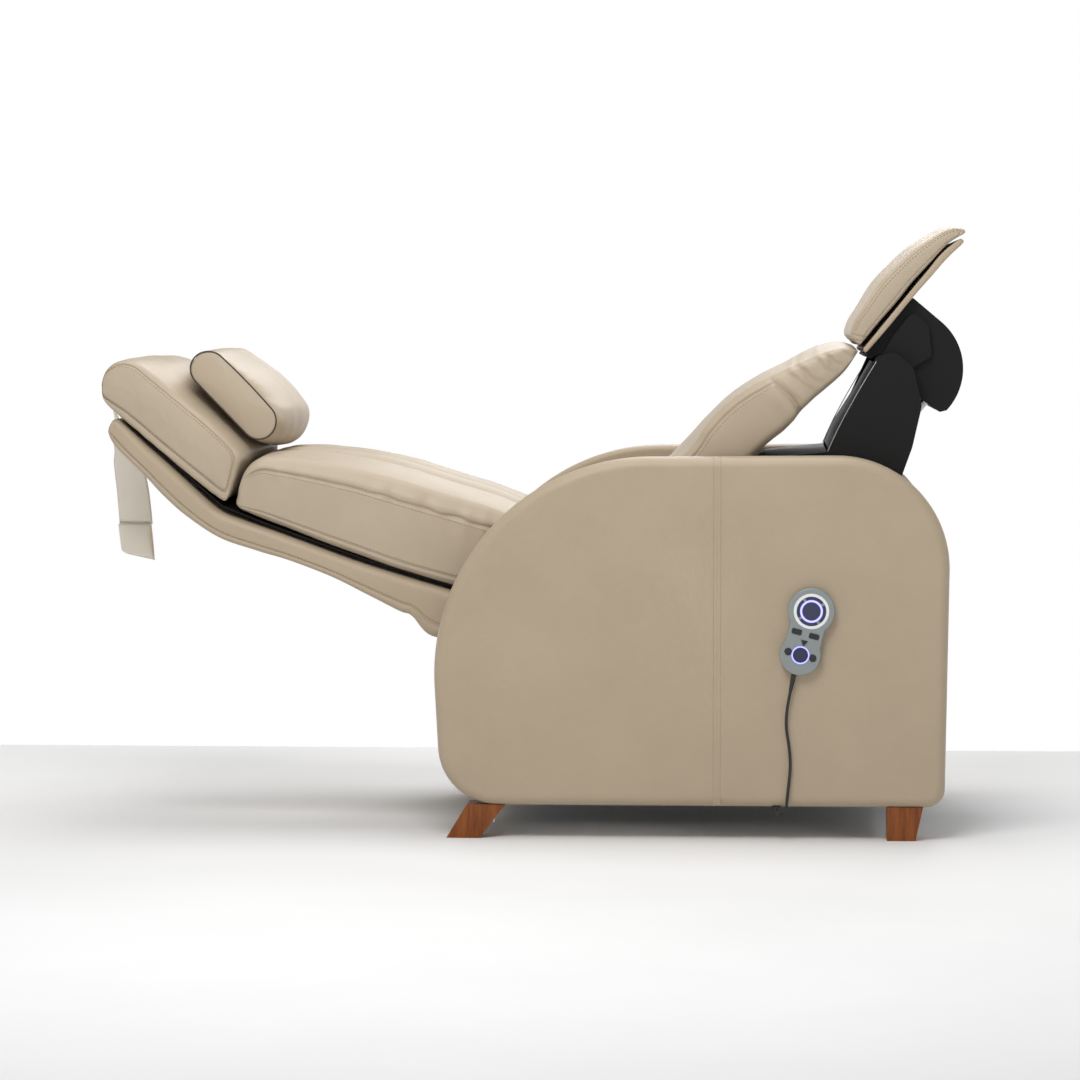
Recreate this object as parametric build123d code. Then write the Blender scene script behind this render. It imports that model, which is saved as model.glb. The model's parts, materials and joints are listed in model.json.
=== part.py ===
"""Zero-gravity massage recliner, drawn fully reclined with the leg rest raised.

Frame: millimetres, +Z up, floor at Z = 0. The head end is at -X, the leg end at +X.
The chair's middle plane is Y = 0; "near" pieces lie on the -Y side and "far" ones on +Y.
Most pieces are flat outlines in X and Z, given a width across Y.
"""
from build123d import *
from math import atan2, cos, degrees, hypot, pi, radians, sin, tan
import os

os.makedirs("parts", exist_ok=True)

# ---- Driving dimensions ------------------------------------------------------------------
ORIGIN_SHIFT = 20.0          # all X below are measured from a point this far towards the head
PANEL_OUTER = 380.0          # |Y| of the side panels' outer faces
PANEL_INNER = 295.0          # |Y| of their inner faces
PANEL_BOTTOM = 60.0          # height of the panels' flat underside
PANEL_TOP = 678.0            # arm height
PANEL_EDGE_RADIUS = 16.0
BOARD_THICKNESS = 18.0       # plywood board inside each panel

SEAT_LANE = (287.0, 293.0)   # |Y| band of the seat's side plates
BACK_LANE = (279.0, 285.0)   # |Y| band of the back's hinge plates
SHELL_HALF = 276.0           # half width of the back shell
PAD_HALF = 270.0             # half width of the pads, the cushion and the ottoman board
CHEEK_LANE = (262.0, 285.0)  # |Y| band of the black riser cheeks
FASCIA_HALF = 246.0
ARM_LANE = (248.0, 256.0)    # |Y| band of the ottoman's hinge plates

CRADLE = (118.0, 538.0)      # X, Z of the main pivot, shared by seat and back
CRADLE_PIN_RADIUS = 12.0
KNEE = (619.0, 821.0)        # X, Z of the ottoman's pivot
KNEE_PIN_RADIUS = 8.0
RUNNING_GAP = 0.05           # radial clearance of a shaft in its hole
DRUM_RADIUS = 142.0          # the ottoman casing's round side, about the knee pivot
DRUM_HUB_RADIUS = 32.0

RAIL_HEAD = (-60.0, 105.0)   # X, Z of the cross rails' middles
RAIL_LEG = (600.0, 105.0)
RAIL_SIZE = (60.0, 40.0)
RAIL_WALL = 3.0

HANDSET_TILT = 13.9          # degrees, top of the handset leaning towards +X
DIAL = (493.0, 406.0)        # X, Z of the dial's centre
DIAL_TO_LOWER = 79.0         # from the dial's centre down to the lower round button
HANDSET_BACK = -381.5        # Y of the handset's back
HANDSET_SPLIT = -388.0
HANDSET_FRONT = -396.5
BUTTON_FACE = -397.7
BUTTON_INNER = -390.2
BUTTON_GAP = 0.4

CORD_DIAMETER = 5.2
# X, Y, Z of the handset cord's route, from the strain relief down to the grommet.
CORD_ROUTE = [
    (457.0, -389.0, 266.0),
    (450.5, -388.0, 234.0),
    (449.0, -387.0, 200.0),
    (455.5, -386.5, 166.0),
    (457.5, -386.5, 130.0),
    (454.0, -386.5, 98.0),
    (451.5, -386.0, 72.0),
    (449.5, -385.0, 51.5),
    (441.5, -377.0, 42.5),
    (433.5, -368.5, 50.5),
    (433.0, -367.0, 60.0),
]

BACK_HIP = (62.0, 374.0)     # hip end of the line on which the pads rest
BACK_SLOPE = 17.5            # degrees, the rise of the lower back towards the head


# ---- Helpers -----------------------------------------------------------------------------
def outline(points, radii):
    """A closed flat face in X and Z with a radius for each corner."""
    return make_face(FilletPolyline(*points, radius=radii, close=True))


def slab(face, y_low, y_high):
    """The face given a width from y_low to y_high across Y."""
    return extrude(Plane.XZ.offset(-y_high) * face, y_high - y_low)


def one_side(face, band, side):
    """The same, at a band of |Y|, on the near (-1) or the far (+1) side."""
    low, high = band
    if side < 0:
        return slab(face, -high, -low)
    return slab(face, low, high)


def rod(x, z, radius, y_low, y_high):
    """A round bar across Y."""
    return slab(Pos(x, z) * Circle(radius), y_low, y_high)


def side_rod(x, z, radius, band, side):
    return one_side(Pos(x, z) * Circle(radius), band, side)


def on_back(along, up):
    """X, Z of a point measured along the lower back from the hip, and square to it."""
    slope = radians(BACK_SLOPE)
    x = BACK_HIP[0] - along * cos(slope) + up * sin(slope)
    z = BACK_HIP[1] + along * sin(slope) + up * cos(slope)
    return x, z


def back_block(along, up, size, y=0.0):
    """A box (length, width, height) lying along the lower back, centred at along, up and y."""
    x, z = on_back(along, up)
    return Pos(x, y, z) * Rot(0, BACK_SLOPE, 0) * Box(*size)


def bar_between(start, end, radius, y):
    """A round bar in the plane Y = y from one X, Z point to another."""
    length = hypot(end[0] - start[0], end[1] - start[1])
    line = Plane(
        origin=(start[0], y, start[1]),
        z_dir=(end[0] - start[0], 0, end[1] - start[1]),
    )
    return extrude(line * Circle(radius), length)


def toward(start, end, distance):
    """The X, Z point at a distance from start on the way to end."""
    length = hypot(end[0] - start[0], end[1] - start[1])
    return (
        start[0] + (end[0] - start[0]) * distance / length,
        start[1] + (end[1] - start[1]) * distance / length,
    )


def around_knee(radius, angle):
    """X, Z at a radius and an angle in degrees about the knee pivot."""
    return (
        KNEE[0] + radius * cos(radians(angle)),
        KNEE[1] + radius * sin(radians(angle)),
    )


def save(shape, name):
    """Write a piece, moved so that X = 0 lies under the middle of the chair's length."""
    solids = [Pos(ORIGIN_SHIFT, 0, 0) * solid for solid in shape.solids()]
    export_step(solids[0] if len(solids) == 1 else Compound(children=solids), f"parts/{name}.step")


def group(shapes):
    """Several separate solids as one node."""
    return Compound(children=[s for shape in shapes for s in shape.solids()])


SIDES = {"near": -1, "far": 1}

# ---- Side panels, boards and feet --------------------------------------------------------
PANEL_CORNERS = [(-192, 670), (737, PANEL_TOP), (727, PANEL_BOTTOM), (-158, PANEL_BOTTOM)]
PANEL_RADII = [382, 196, 32, 104]
BOARD_CORNERS = [(-120, 610), (680, 610), (680, PANEL_BOTTOM), (-95, PANEL_BOTTOM)]
BOARD_RADII = [330, 110, 12, 60]


def side_board(side):
    board = one_side(
        outline(BOARD_CORNERS, BOARD_RADII),
        (PANEL_INNER, PANEL_INNER + BOARD_THICKNESS),
        side,
    )
    return board - side_rod(*CRADLE, CRADLE_PIN_RADIUS, (200, 400), side)


def side_panel(side):
    panel = one_side(outline(PANEL_CORNERS, PANEL_RADII), (PANEL_INNER, PANEL_OUTER), side)
    outer = panel.faces().sort_by(Axis.Y)[0 if side < 0 else -1]
    panel = fillet(outer.edges(), PANEL_EDGE_RADIUS)
    board_room = one_side(
        outline(BOARD_CORNERS, BOARD_RADII),
        (PANEL_INNER - 1, PANEL_INNER + BOARD_THICKNESS),
        side,
    )
    return panel - board_room


def foot(top_left, top_right, bottom_left, bottom_right, side):
    """A tapered block foot, splayed in X and narrower at the floor."""
    y_top = side * 338.0
    y_bottom = side * 342.0
    top = Plane.XY.offset(PANEL_BOTTOM) * Pos((top_left + top_right) / 2, y_top)
    bottom = Pos((bottom_left + bottom_right) / 2, y_bottom)
    return loft([
        bottom * Rectangle(bottom_right - bottom_left, 52),
        top * Rectangle(top_right - top_left, 64),
    ])


# X of each foot's top left, top right, bottom left and bottom right edges.
FEET = {
    "head": (-113, -45, -149.5, -91),
    "leg": (627, 690, 627, 677),
}
FOOT_BOLT = 36.0
FOOT_BOLT_SHIFT = {"head": 10, "leg": 0}
feet = []
foot_bolts = []
for side_name, side in SIDES.items():
    save(side_panel(side), f"side_panel_{side_name}")
    for end, xs in FEET.items():
        bolt_x = (xs[0] + xs[1]) / 2 + FOOT_BOLT_SHIFT[end]
        bolt = Pos(bolt_x, side * 330, PANEL_BOTTOM - FOOT_BOLT / 2) * Cylinder(4, FOOT_BOLT)
        feet.append(foot(*xs, side) - bolt)
        foot_bolts.append(bolt)
save(group([side_board(side) for side in SIDES.values()]), "side_boards")
save(group(feet), "feet")
save(group(foot_bolts), "foot_bolts")

# ---- Base: cross rails, pivot pins, control box ------------------------------------------
ACTUATOR_BORE = 6.0
SEAT_DRIVE = {"base": (-30.0, 155.0), "end": (478.0, 556.0), "y": 0.0}
BACK_DRIVE = {"base": (330.0, 300.0), "end": (-150.0, 240.0), "y": 120.0}
LEG_DRIVE = {"base": (370.0, 380.0), "end": around_knee(100, -20), "y": -120.0}


def cross_rail(middle):
    x, z = middle
    tube = Pos(x, 0, z) * Box(RAIL_SIZE[0], 2 * PANEL_INNER, RAIL_SIZE[1])
    inside = Pos(x, 0, z) * Box(
        RAIL_SIZE[0] - 2 * RAIL_WALL, 2 * PANEL_INNER + 2, RAIL_SIZE[1] - 2 * RAIL_WALL
    )
    return tube - inside


def lug_pair(pin, y, root_points, radius=14.0):
    """Two plate ears beside an actuator's eye, open at the pin."""
    face = make_hull([
        *(Pos(*pin) * Circle(radius)).edges(),
        *Polyline(*root_points, close=True).edges(),
    ])
    return [slab(face, y + s * 14.5 - 2.5, y + s * 14.5 + 2.5) for s in (-1, 1)]


TRAY_TOP = 128.0
base_frame = cross_rail(RAIL_HEAD) + cross_rail(RAIL_LEG)
base_frame += Pos(285, 0, TRAY_TOP - 2) * Box(690, 300, 4)
for ear in lug_pair(SEAT_DRIVE["base"], 0.0, [(-60, 126), (10, 126), (10, 128), (-60, 128)]):
    base_frame += ear
base_frame -= rod(*SEAT_DRIVE["base"], ACTUATOR_BORE, -40, 40)
save(base_frame, "base_frame")
box_body = Pos(430, -70, TRAY_TOP + 25) * Box(170, 130, 50)
save(fillet(box_body.edges().filter_by(Axis.Z), 8), "control_box")
inlet = Pos(-98, 60, 105) * Box(16, 50, 30)
inlet_mouth = Pos(-101, 60, 105) * Box(12, 26, 18)
save(inlet - inlet_mouth, "power_inlet")
pins = [
    side_rod(*CRADLE, CRADLE_PIN_RADIUS, (BACK_LANE[0] - 2, PANEL_INNER + BOARD_THICKNESS), s)
    for s in SIDES.values()
]
save(group(pins), "cradle_pins")

# ---- Seat: side plates, cross tube, pan, cheeks, fascia, cushion -------------------------
SEAT_TUBE = (310.0, 500.0)
FRONT_TUBE = (460.0, 604.0)
TUBE_RADIUS = 14.0
SEAT_PLATE_CORNERS = [
    (86, 545), (100, 508), (300, 472), (545, 560), (622, 600), (622, 652), (500, 652), (300, 560),
    (128, 572),
]
PLATE_RADII = [18, 18, 30, 30, 20, 20, 30, 60, 18]
CHEEK_CORNERS = [
    (607, 850), (574, 776), (536, 716), (521, 676), (500, 610), (500, 568), (600, 568), (648, 625),
    (671, 689), (688, 764), (672, 832), (640, 858),
]
CHEEK_RADII = [10, 60, 60, 40, 16, 16, 30, 40, 80, 40, 30, 20]
CUSHION_CORNERS = [(116, 549), (330, 772), (440, 838), (530, 880), (580, 858), (543, 808), (190, 470)]
CUSHION_RADII = [14, 200, 300, 50, 10, 150, 20]

CHEEK_STUDS = ((545, 628), (592, 628))
seat_plates = []
cheeks = []
for side in SIDES.values():
    plate = one_side(outline(SEAT_PLATE_CORNERS, PLATE_RADII), SEAT_LANE, side)
    for stud in CHEEK_STUDS:
        plate += side_rod(*stud, 6, (CHEEK_LANE[1], SEAT_LANE[0]), side)
    plate -= side_rod(*CRADLE, CRADLE_PIN_RADIUS + RUNNING_GAP, (200, 400), side)
    seat_plates.append(plate)
    cheek = one_side(outline(CHEEK_CORNERS, CHEEK_RADII), CHEEK_LANE, side)
    cheek += side_rod(*KNEE, KNEE_PIN_RADIUS, (ARM_LANE[0] - 1, CHEEK_LANE[0] + 1), side)
    cheeks.append(cheek)
save(group(seat_plates), "seat_side_plates")
save(group(cheeks), "riser_cheeks")

seat_tube = rod(*SEAT_TUBE, TUBE_RADIUS, -SEAT_LANE[0], SEAT_LANE[0])
for y, pin, roots in (
    (BACK_DRIVE["y"], BACK_DRIVE["base"], [(298, 498), (322, 498), (322, 494), (298, 494)]),
    (LEG_DRIVE["y"], LEG_DRIVE["base"], [(298, 498), (322, 498), (322, 494), (298, 494)]),
):
    for ear in lug_pair(pin, y, roots):
        seat_tube += ear
    seat_tube -= rod(*pin, ACTUATOR_BORE, y - 40, y + 40)
front_tube = rod(*FRONT_TUBE, TUBE_RADIUS, -SEAT_LANE[0], SEAT_LANE[0])
for ear in lug_pair(SEAT_DRIVE["end"], SEAT_DRIVE["y"], [(448, 604), (472, 604), (472, 606), (448, 606)]):
    front_tube += ear
front_tube -= rod(*SEAT_DRIVE["end"], ACTUATOR_BORE, -40, 40)
save(group([seat_tube, front_tube]), "seat_cross_tubes")

PAN_CORNERS = [(196, 467), (404, 665), (412, 668.5), (521, 680), (522, 668), (419, 656.5), (206, 456)]
seat_pan = slab(outline(PAN_CORNERS, [0, 6, 6, 0, 0, 10, 0]), -PAD_HALF + 9, PAD_HALF - 9)
save(seat_pan, "seat_pan")
FASCIA_CORNERS = [
    (609, 838), (574, 776), (536, 716), (524, 684), (530, 682), (541, 714), (579, 773), (614, 835),
]
save(slab(outline(FASCIA_CORNERS, [0, 60, 60, 0, 0, 55, 55, 0]), -FASCIA_HALF, FASCIA_HALF),
     "knee_fascia")
save(slab(outline(CUSHION_CORNERS, CUSHION_RADII), -PAD_HALF, PAD_HALF), "seat_cushion")

# ---- Ottoman: casing, hinge plates, board, leg pad, vibration motors ---------------------
rim_top = (725, 909)
rim_low = (733, 754)
drum_lines = Curve() + [
    Line(around_knee(DRUM_HUB_RADIUS, 130), (588, 851)),
    Line((588, 851), (673, 953)),
    Line((673, 953), rim_top),
    ThreePointArc(rim_top, around_knee(DRUM_RADIUS + 1, 4), rim_low),
    Line(rim_low, (721, 751)),
    Line((721, 751), around_knee(DRUM_HUB_RADIUS, -34)),
    ThreePointArc(
        around_knee(DRUM_HUB_RADIUS, -34),
        around_knee(DRUM_HUB_RADIUS, 48),
        around_knee(DRUM_HUB_RADIUS, 130),
    ),
]
drum_face = make_face(drum_lines)
casing = slab(drum_face, -FASCIA_HALF, FASCIA_HALF)
hollow = slab(offset(drum_face, -4), -FASCIA_HALF + 4, FASCIA_HALF - 4)
DRIVE_SLOT_CORNERS = [(640, 790), (722, 735), (780, 740), (780, 798), (700, 815)]
slot_face = make_face(Polyline(*DRIVE_SLOT_CORNERS, close=True))
slot = slab(slot_face, LEG_DRIVE["y"] - 24, LEG_DRIVE["y"] + 24)
casing = casing - hollow - slot
for ear in lug_pair(LEG_DRIVE["end"], LEG_DRIVE["y"], [(729, 800), (761, 800), (761, 850), (729, 850)]):
    casing += ear & slab(offset(drum_face, -1), -FASCIA_HALF, FASCIA_HALF)
casing -= rod(*LEG_DRIVE["end"], ACTUATOR_BORE, LEG_DRIVE["y"] - 40, LEG_DRIVE["y"] + 40)
save(casing, "ottoman_casing")

HINGE_PLATE_CORNERS = [(600, 822), (606, 806), (632, 806), (706, 850), (700, 905), (672, 930), (640, 890)]
hinge_plates = []
for side in SIDES.values():
    plate = one_side(outline(HINGE_PLATE_CORNERS, [8, 8, 12, 12, 12, 12, 12]), ARM_LANE, side)
    for stud in ((672, 868), (686, 890)):
        plate += side_rod(*stud, 5, (FASCIA_HALF, ARM_LANE[0]), side)
    plate -= side_rod(*KNEE, KNEE_PIN_RADIUS + RUNNING_GAP, (200, 400), side)
    hinge_plates.append(plate)
save(group(hinge_plates), "ottoman_hinge_plates")
BOARD_LINE = [(588.5, 853), (673, 955), (731, 1021), (758, 1047), (750, 1055), (724, 1030), (666, 963),
              (582, 861)]
save(slab(outline(BOARD_LINE, [4, 0, 0, 3, 3, 0, 0, 4]), -PAD_HALF, PAD_HALF), "ottoman_board")
LEG_PAD_CORNERS = [
    (577, 868), (553, 892), (598, 970), (672, 1048), (738, 1088), (764, 1076), (766, 1066), (748, 1061),
]
LEG_PAD_RADII = [8, 14, 200, 250, 45, 4, 3, 10]
save(slab(outline(LEG_PAD_CORNERS, LEG_PAD_RADII), -PAD_HALF, PAD_HALF), "leg_pad")
motors = [
    Pos(690, y, 880) * Rot(0, -40, 0) * Cylinder(20, 34) for y in (-60, 60)
]
save(group(motors), "vibration_motors")

# ---- Back: frame, shell, liner, pads, hinge plates ---------------------------------------
REST_LINE = [(-738, 733), (-560, 577), (-479, 545), (-300, 481), BACK_HIP]


def along_rest(up_low, up_high):
    """A bent sheet that follows the line the pads rest on, from one height to another."""
    top = [(x, z + up_high) for x, z in REST_LINE]
    bottom = [(x, z + up_low) for x, z in reversed(REST_LINE)]
    return make_face(Polyline(*top, *bottom, close=True))


SHELL_CORNERS = [
    (-762, 716), (-741, 736), (-560, 577), (-479, 545), (-300, 481), BACK_HIP, (50, 322),
    (-190, 372), (-243, 393), (-362, 459), (-495, 502), (-563, 524), (-609, 555), (-694, 629),
    (-740, 668),
]
SHELL_RADII = [14, 8, 120, 150, 200, 14, 14, 60, 60, 150, 150, 80, 80, 100, 24]
shell_face = outline(SHELL_CORNERS, SHELL_RADII)
shell = slab(shell_face, -SHELL_HALF, SHELL_HALF)
tray_room = slab(offset(shell_face, -8), -SHELL_HALF + 10, SHELL_HALF - 10)
tray_mouth = slab(along_rest(-14, 12), -SHELL_HALF + 10, SHELL_HALF - 10)
shell_ends = Pos(-350, 0, 540) * Box(760, 600, 500)
shell = shell - tray_room - (tray_mouth & shell_ends)
SHELL_LUG_ROOTS = [(-186, 376), (-126, 364), (-126, 358), (-186, 368)]
for ear in lug_pair(BACK_DRIVE["end"], BACK_DRIVE["y"], SHELL_LUG_ROOTS):
    shell += ear
shell -= rod(*BACK_DRIVE["end"], ACTUATOR_BORE, BACK_DRIVE["y"] - 40, BACK_DRIVE["y"] + 40)
save(shell, "back_shell")
save(slab(along_rest(1.5, 5.5), -SHELL_HALF + 14, SHELL_HALF - 14), "back_liner")

UPPER_PAD_CORNERS = [(-778, 790), (-735, 852), (-660, 848), (-502, 683), (-557, 592), (-742, 746)]
UPPER_PAD_RADII = [32, 34, 60, 34, 12, 18]
save(slab(outline(UPPER_PAD_CORNERS, UPPER_PAD_RADII), -PAD_HALF, PAD_HALF), "back_pad_upper")
LOWER_PAD_CORNERS = [(-529, 574), (-500, 680), (-300, 674), (104, 548), (62, 386), (-300, 489), (-479, 554)]
LOWER_PAD_RADII = [14, 36, 220, 16, 14, 0, 0]
CAVITY_ALONG = (50.0, 500.0)
CAVITY_HALF = 108.0
cavity_middle = (CAVITY_ALONG[0] + CAVITY_ALONG[1]) / 2
cavity = back_block(cavity_middle, 40, (CAVITY_ALONG[1] - CAVITY_ALONG[0], 2 * CAVITY_HALF, 110))
lower_pad = slab(outline(LOWER_PAD_CORNERS, LOWER_PAD_RADII), -PAD_HALF, PAD_HALF) - cavity
save(lower_pad, "back_pad_lower")

frame_tubes = []
for side in SIDES.values():
    x, z = on_back(290, -24)
    frame_tubes.append(Pos(x, side * 225, z) * Rot(0, BACK_SLOPE, 0) * Box(470, 22, 22))
back_frame = frame_tubes[0] + frame_tubes[1]
for along in (70, 290, 510):
    x, z = on_back(along, -24)
    back_frame += Pos(x, 0, z) * Rot(0, BACK_SLOPE, 0) * Box(18, 440, 18)
save(back_frame, "back_frame")

HINGE_CORNERS = [(92, 562), (144, 562), (144, 512), (62, 350), (-120, 378), (-120, 420), (30, 440)]
back_plates = []
for side in SIDES.values():
    plate = one_side(outline(HINGE_CORNERS, [18, 18, 30, 12, 12, 12, 30]), BACK_LANE, side)
    for stud in ((-95, 397), (30, 360)):
        plate += side_rod(*stud, 6, (SHELL_HALF, BACK_LANE[0]), side)
    plate -= side_rod(*CRADLE, CRADLE_PIN_RADIUS + RUNNING_GAP, (200, 400), side)
    back_plates.append(plate)
save(group(back_plates), "back_hinge_plates")

# ---- Massage mechanism in the lower pad's cavity -----------------------------------------
GUIDE_Y = 84.0
GUIDE_UP = 22.0
CARRIAGE_ALONG = 150.0
GUIDE_ENDS = (62.0, 488.0)
# Y and radius of the two guide rods and of the lead screw between them.
GUIDE_RODS = ((-GUIDE_Y, 6.0), (GUIDE_Y, 6.0), (0.0, 5.0))


def guide_rod(y, radius):
    return bar_between(on_back(GUIDE_ENDS[0], GUIDE_UP), on_back(GUIDE_ENDS[1], GUIDE_UP), radius, y)


guides = back_block(GUIDE_ENDS[0] - 6, GUIDE_UP - 3, (12, 2 * GUIDE_Y + 24, 26))
guides += back_block(GUIDE_ENDS[1] + 6, GUIDE_UP - 3, (12, 2 * GUIDE_Y + 24, 26))
carriage = back_block(CARRIAGE_ALONG, GUIDE_UP, (110, 2 * GUIDE_Y + 18, 22))
for y, radius in GUIDE_RODS:
    guides += guide_rod(y, radius)
    carriage -= guide_rod(y, radius + RUNNING_GAP)
save(guides, "massage_guides")

ROCKER_UP = GUIDE_UP + 36.0
ROCKER = on_back(CARRIAGE_ALONG, ROCKER_UP)
ROCKER_HALF = 52.0
ROLLER_REACH = 30.0
POST_Y = 30.0
post_low = GUIDE_UP + 10
post_high = ROCKER_UP + 10
for y in (-POST_Y, POST_Y):
    post = back_block(CARRIAGE_ALONG, (post_low + post_high) / 2, (18, 10, post_high - post_low), y)
    carriage += post - rod(*ROCKER, 5 + RUNNING_GAP, y - 10, y + 10)
motor = back_block(CARRIAGE_ALONG, GUIDE_UP + 20, (46, 36, 20))
save(carriage + motor, "massage_carriage")

rocker_shaft = rod(*ROCKER, 5, -ROCKER_HALF, ROCKER_HALF)
arms = rocker_shaft
rollers = {"head": [], "hip": []}
for sign in SIDES.values():
    y = sign * ROCKER_HALF
    arms += back_block(CARRIAGE_ALONG, ROCKER_UP, (2 * ROLLER_REACH + 16, 8, 14), y)
    for name, shift in (("head", ROLLER_REACH), ("hip", -ROLLER_REACH)):
        hub = on_back(CARRIAGE_ALONG + shift, ROCKER_UP)
        arms += side_rod(*hub, 4, (ROCKER_HALF, ROCKER_HALF + 27), sign)
        roller = side_rod(*hub, 19, (ROCKER_HALF + 6, ROCKER_HALF + 26), sign)
        roller -= side_rod(*hub, 4 + RUNNING_GAP, (ROCKER_HALF, ROCKER_HALF + 30), sign)
        rollers[name].append(roller)
save(arms, "kneading_arms")
for name, pair in rollers.items():
    save(group(pair), f"massage_rollers_{name}")

# ---- Linear actuators --------------------------------------------------------------------
MOTOR_START = 40.0
MOTOR_LENGTH = 72.0
ROD_RADIUS = 9.0
ROD_BORE = 9.5
TUBE_OUTER = 19.0


def actuator(drive, tube_length, rod_start, name):
    """A cylinder with its motor at the base eye, and the rod with the eye at its other end."""
    start, end, y = drive["base"], drive["end"], drive["y"]
    tube = bar_between(toward(start, end, MOTOR_START), toward(start, end, tube_length), TUBE_OUTER, y)
    angle = degrees(atan2(end[1] - start[1], end[0] - start[0]))
    motor_middle = toward(start, end, MOTOR_START + MOTOR_LENGTH / 2)
    tube += Pos(motor_middle[0], y, motor_middle[1]) * Rot(0, -angle, 0) * Box(MOTOR_LENGTH, 44, 52)
    tube += bar_between(start, toward(start, end, MOTOR_START + 1), 10, y)
    tube += rod(*start, 11, y - 11, y + 11)
    tube += rod(*start, ACTUATOR_BORE - RUNNING_GAP, y - 20, y + 20)
    tube -= bar_between(toward(start, end, rod_start), toward(start, end, tube_length + 1), ROD_BORE, y)
    save(tube, f"{name}_cylinder")
    piston = bar_between(toward(start, end, tube_length - 14), end, ROD_RADIUS, y)
    piston += rod(*end, 11, y - 11, y + 11)
    save(piston, f"{name}_rod")


actuator(SEAT_DRIVE, 440, 200, "seat_actuator")
actuator(BACK_DRIVE, 380, 190, "back_actuator")
actuator(LEG_DRIVE, 335, 185, "leg_actuator")

# ---- Pillow and its counterweight strap --------------------------------------------------
PILLOW_HALF = 215.0
PILLOW_ENDS = ((-584.0, 834.0), (-484.0, 730.0))
PILLOW_THICKNESS = 84.0
pillow_middle = [(a + b) / 2 for a, b in zip(*PILLOW_ENDS)]
pillow_angle = degrees(atan2(PILLOW_ENDS[1][1] - PILLOW_ENDS[0][1], PILLOW_ENDS[1][0] - PILLOW_ENDS[0][0]))
pillow_length = hypot(PILLOW_ENDS[1][0] - PILLOW_ENDS[0][0], PILLOW_ENDS[1][1] - PILLOW_ENDS[0][1])
pillow_face = Pos(*pillow_middle) * Rot(0, 0, pillow_angle) * SlotOverall(
    pillow_length + PILLOW_THICKNESS, PILLOW_THICKNESS
)
save(slab(pillow_face, -PILLOW_HALF, PILLOW_HALF), "head_pillow")

STRAP_WIDTH = 64.0
STRAP_THICKNESS = 3.0
# (X, Z, turn about Z in degrees) of the strap's middle: it hangs flat across the chair behind the
# head end and turns its face to the side below the shell.
STRAP_STATIONS = [(-799, 745, 10), (-790, 700, 26), (-773, 650, 62), (-766, 600, 75), (-760, 535, 80)]
strap = loft([
    Pos(x, 0, z) * Rot(0, 0, turn) * Rectangle(STRAP_THICKNESS, STRAP_WIDTH)
    for x, z, turn in STRAP_STATIONS
], ruled=True)
save(strap, "counterweight_strap")
WEIGHT_THICKNESS = 20.0
weight = loft([
    Pos(-760, 0, 534.5) * Rot(0, 0, 80) * Rectangle(8, STRAP_WIDTH - 2),
    Pos(-757, 0, 508) * Rot(0, 0, 80) * Rectangle(WEIGHT_THICKNESS, STRAP_WIDTH),
    Pos(-753, 0, 474) * Rot(0, 0, 80) * Rectangle(WEIGHT_THICKNESS, STRAP_WIDTH - 2),
], ruled=True)
save(weight, "counterweight")

# ---- Handset -----------------------------------------------------------------------------
def handset_place(right, up):
    """X, Z of a point measured from the dial's centre, along the tilted handset."""
    tilt = radians(HANDSET_TILT)
    return (
        DIAL[0] + right * cos(tilt) + up * sin(tilt),
        DIAL[1] - right * sin(tilt) + up * cos(tilt),
    )


def on_handset(face, right=0.0, up=0.0):
    """A flat face drawn upright, set on the handset at right and up of the dial."""
    return Pos(*handset_place(right, up)) * Rot(0, 0, -HANDSET_TILT) * face


def plate_at(face, y_outer, y_inner):
    return slab(face, y_outer, y_inner)


handset_face = (
    on_handset(Circle(41))
    + on_handset(Circle(36), 0, -DIAL_TO_LOWER)
    + on_handset(Rectangle(62, DIAL_TO_LOWER), 0, -DIAL_TO_LOWER / 2)
)
back_case = plate_at(handset_face, HANDSET_SPLIT, HANDSET_BACK)
back_case -= plate_at(offset(handset_face, -3), HANDSET_SPLIT - 1, HANDSET_BACK - 2)
save(back_case, "handset_back_case")
save(plate_at(offset(handset_face, -6), HANDSET_SPLIT + 1.2, HANDSET_SPLIT + 2.8), "handset_board")

ring_sector = {}
for index, name in enumerate(("up", "left", "down", "right")):
    middle = 90 + 90 * index
    wedge = make_face(Polyline(
        (0, 0),
        (40 * cos(radians(middle - 38)), 40 * sin(radians(middle - 38))),
        (40 * cos(radians(middle + 38)), 40 * sin(radians(middle + 38))),
        close=True,
    ))
    ring_sector[name] = (Circle(25.2) - Circle(20.4)) & wedge

BUTTONS = {
    "button_centre": (Circle(15.6), 0, 0),
    "button_lower": (Circle(13.0), 0, -DIAL_TO_LOWER),
    "button_oblong_left": (RectangleRounded(17, 9, 2), -16.1, -40.5),
    "button_oblong_right": (RectangleRounded(17, 9, 2), 15.2, -41.5),
    "button_triangle": (RegularPolygon(6.5, 3, rotation=30), 0.8, -56.0),
    "button_small_left": (Circle(6.2), -22.3, -78.0),
    "button_small_right": (Circle(6.2), 22.0, -79.0),
}
for name, face in ring_sector.items():
    BUTTONS[f"button_dial_{name}"] = (face, 0, 0)

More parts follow.
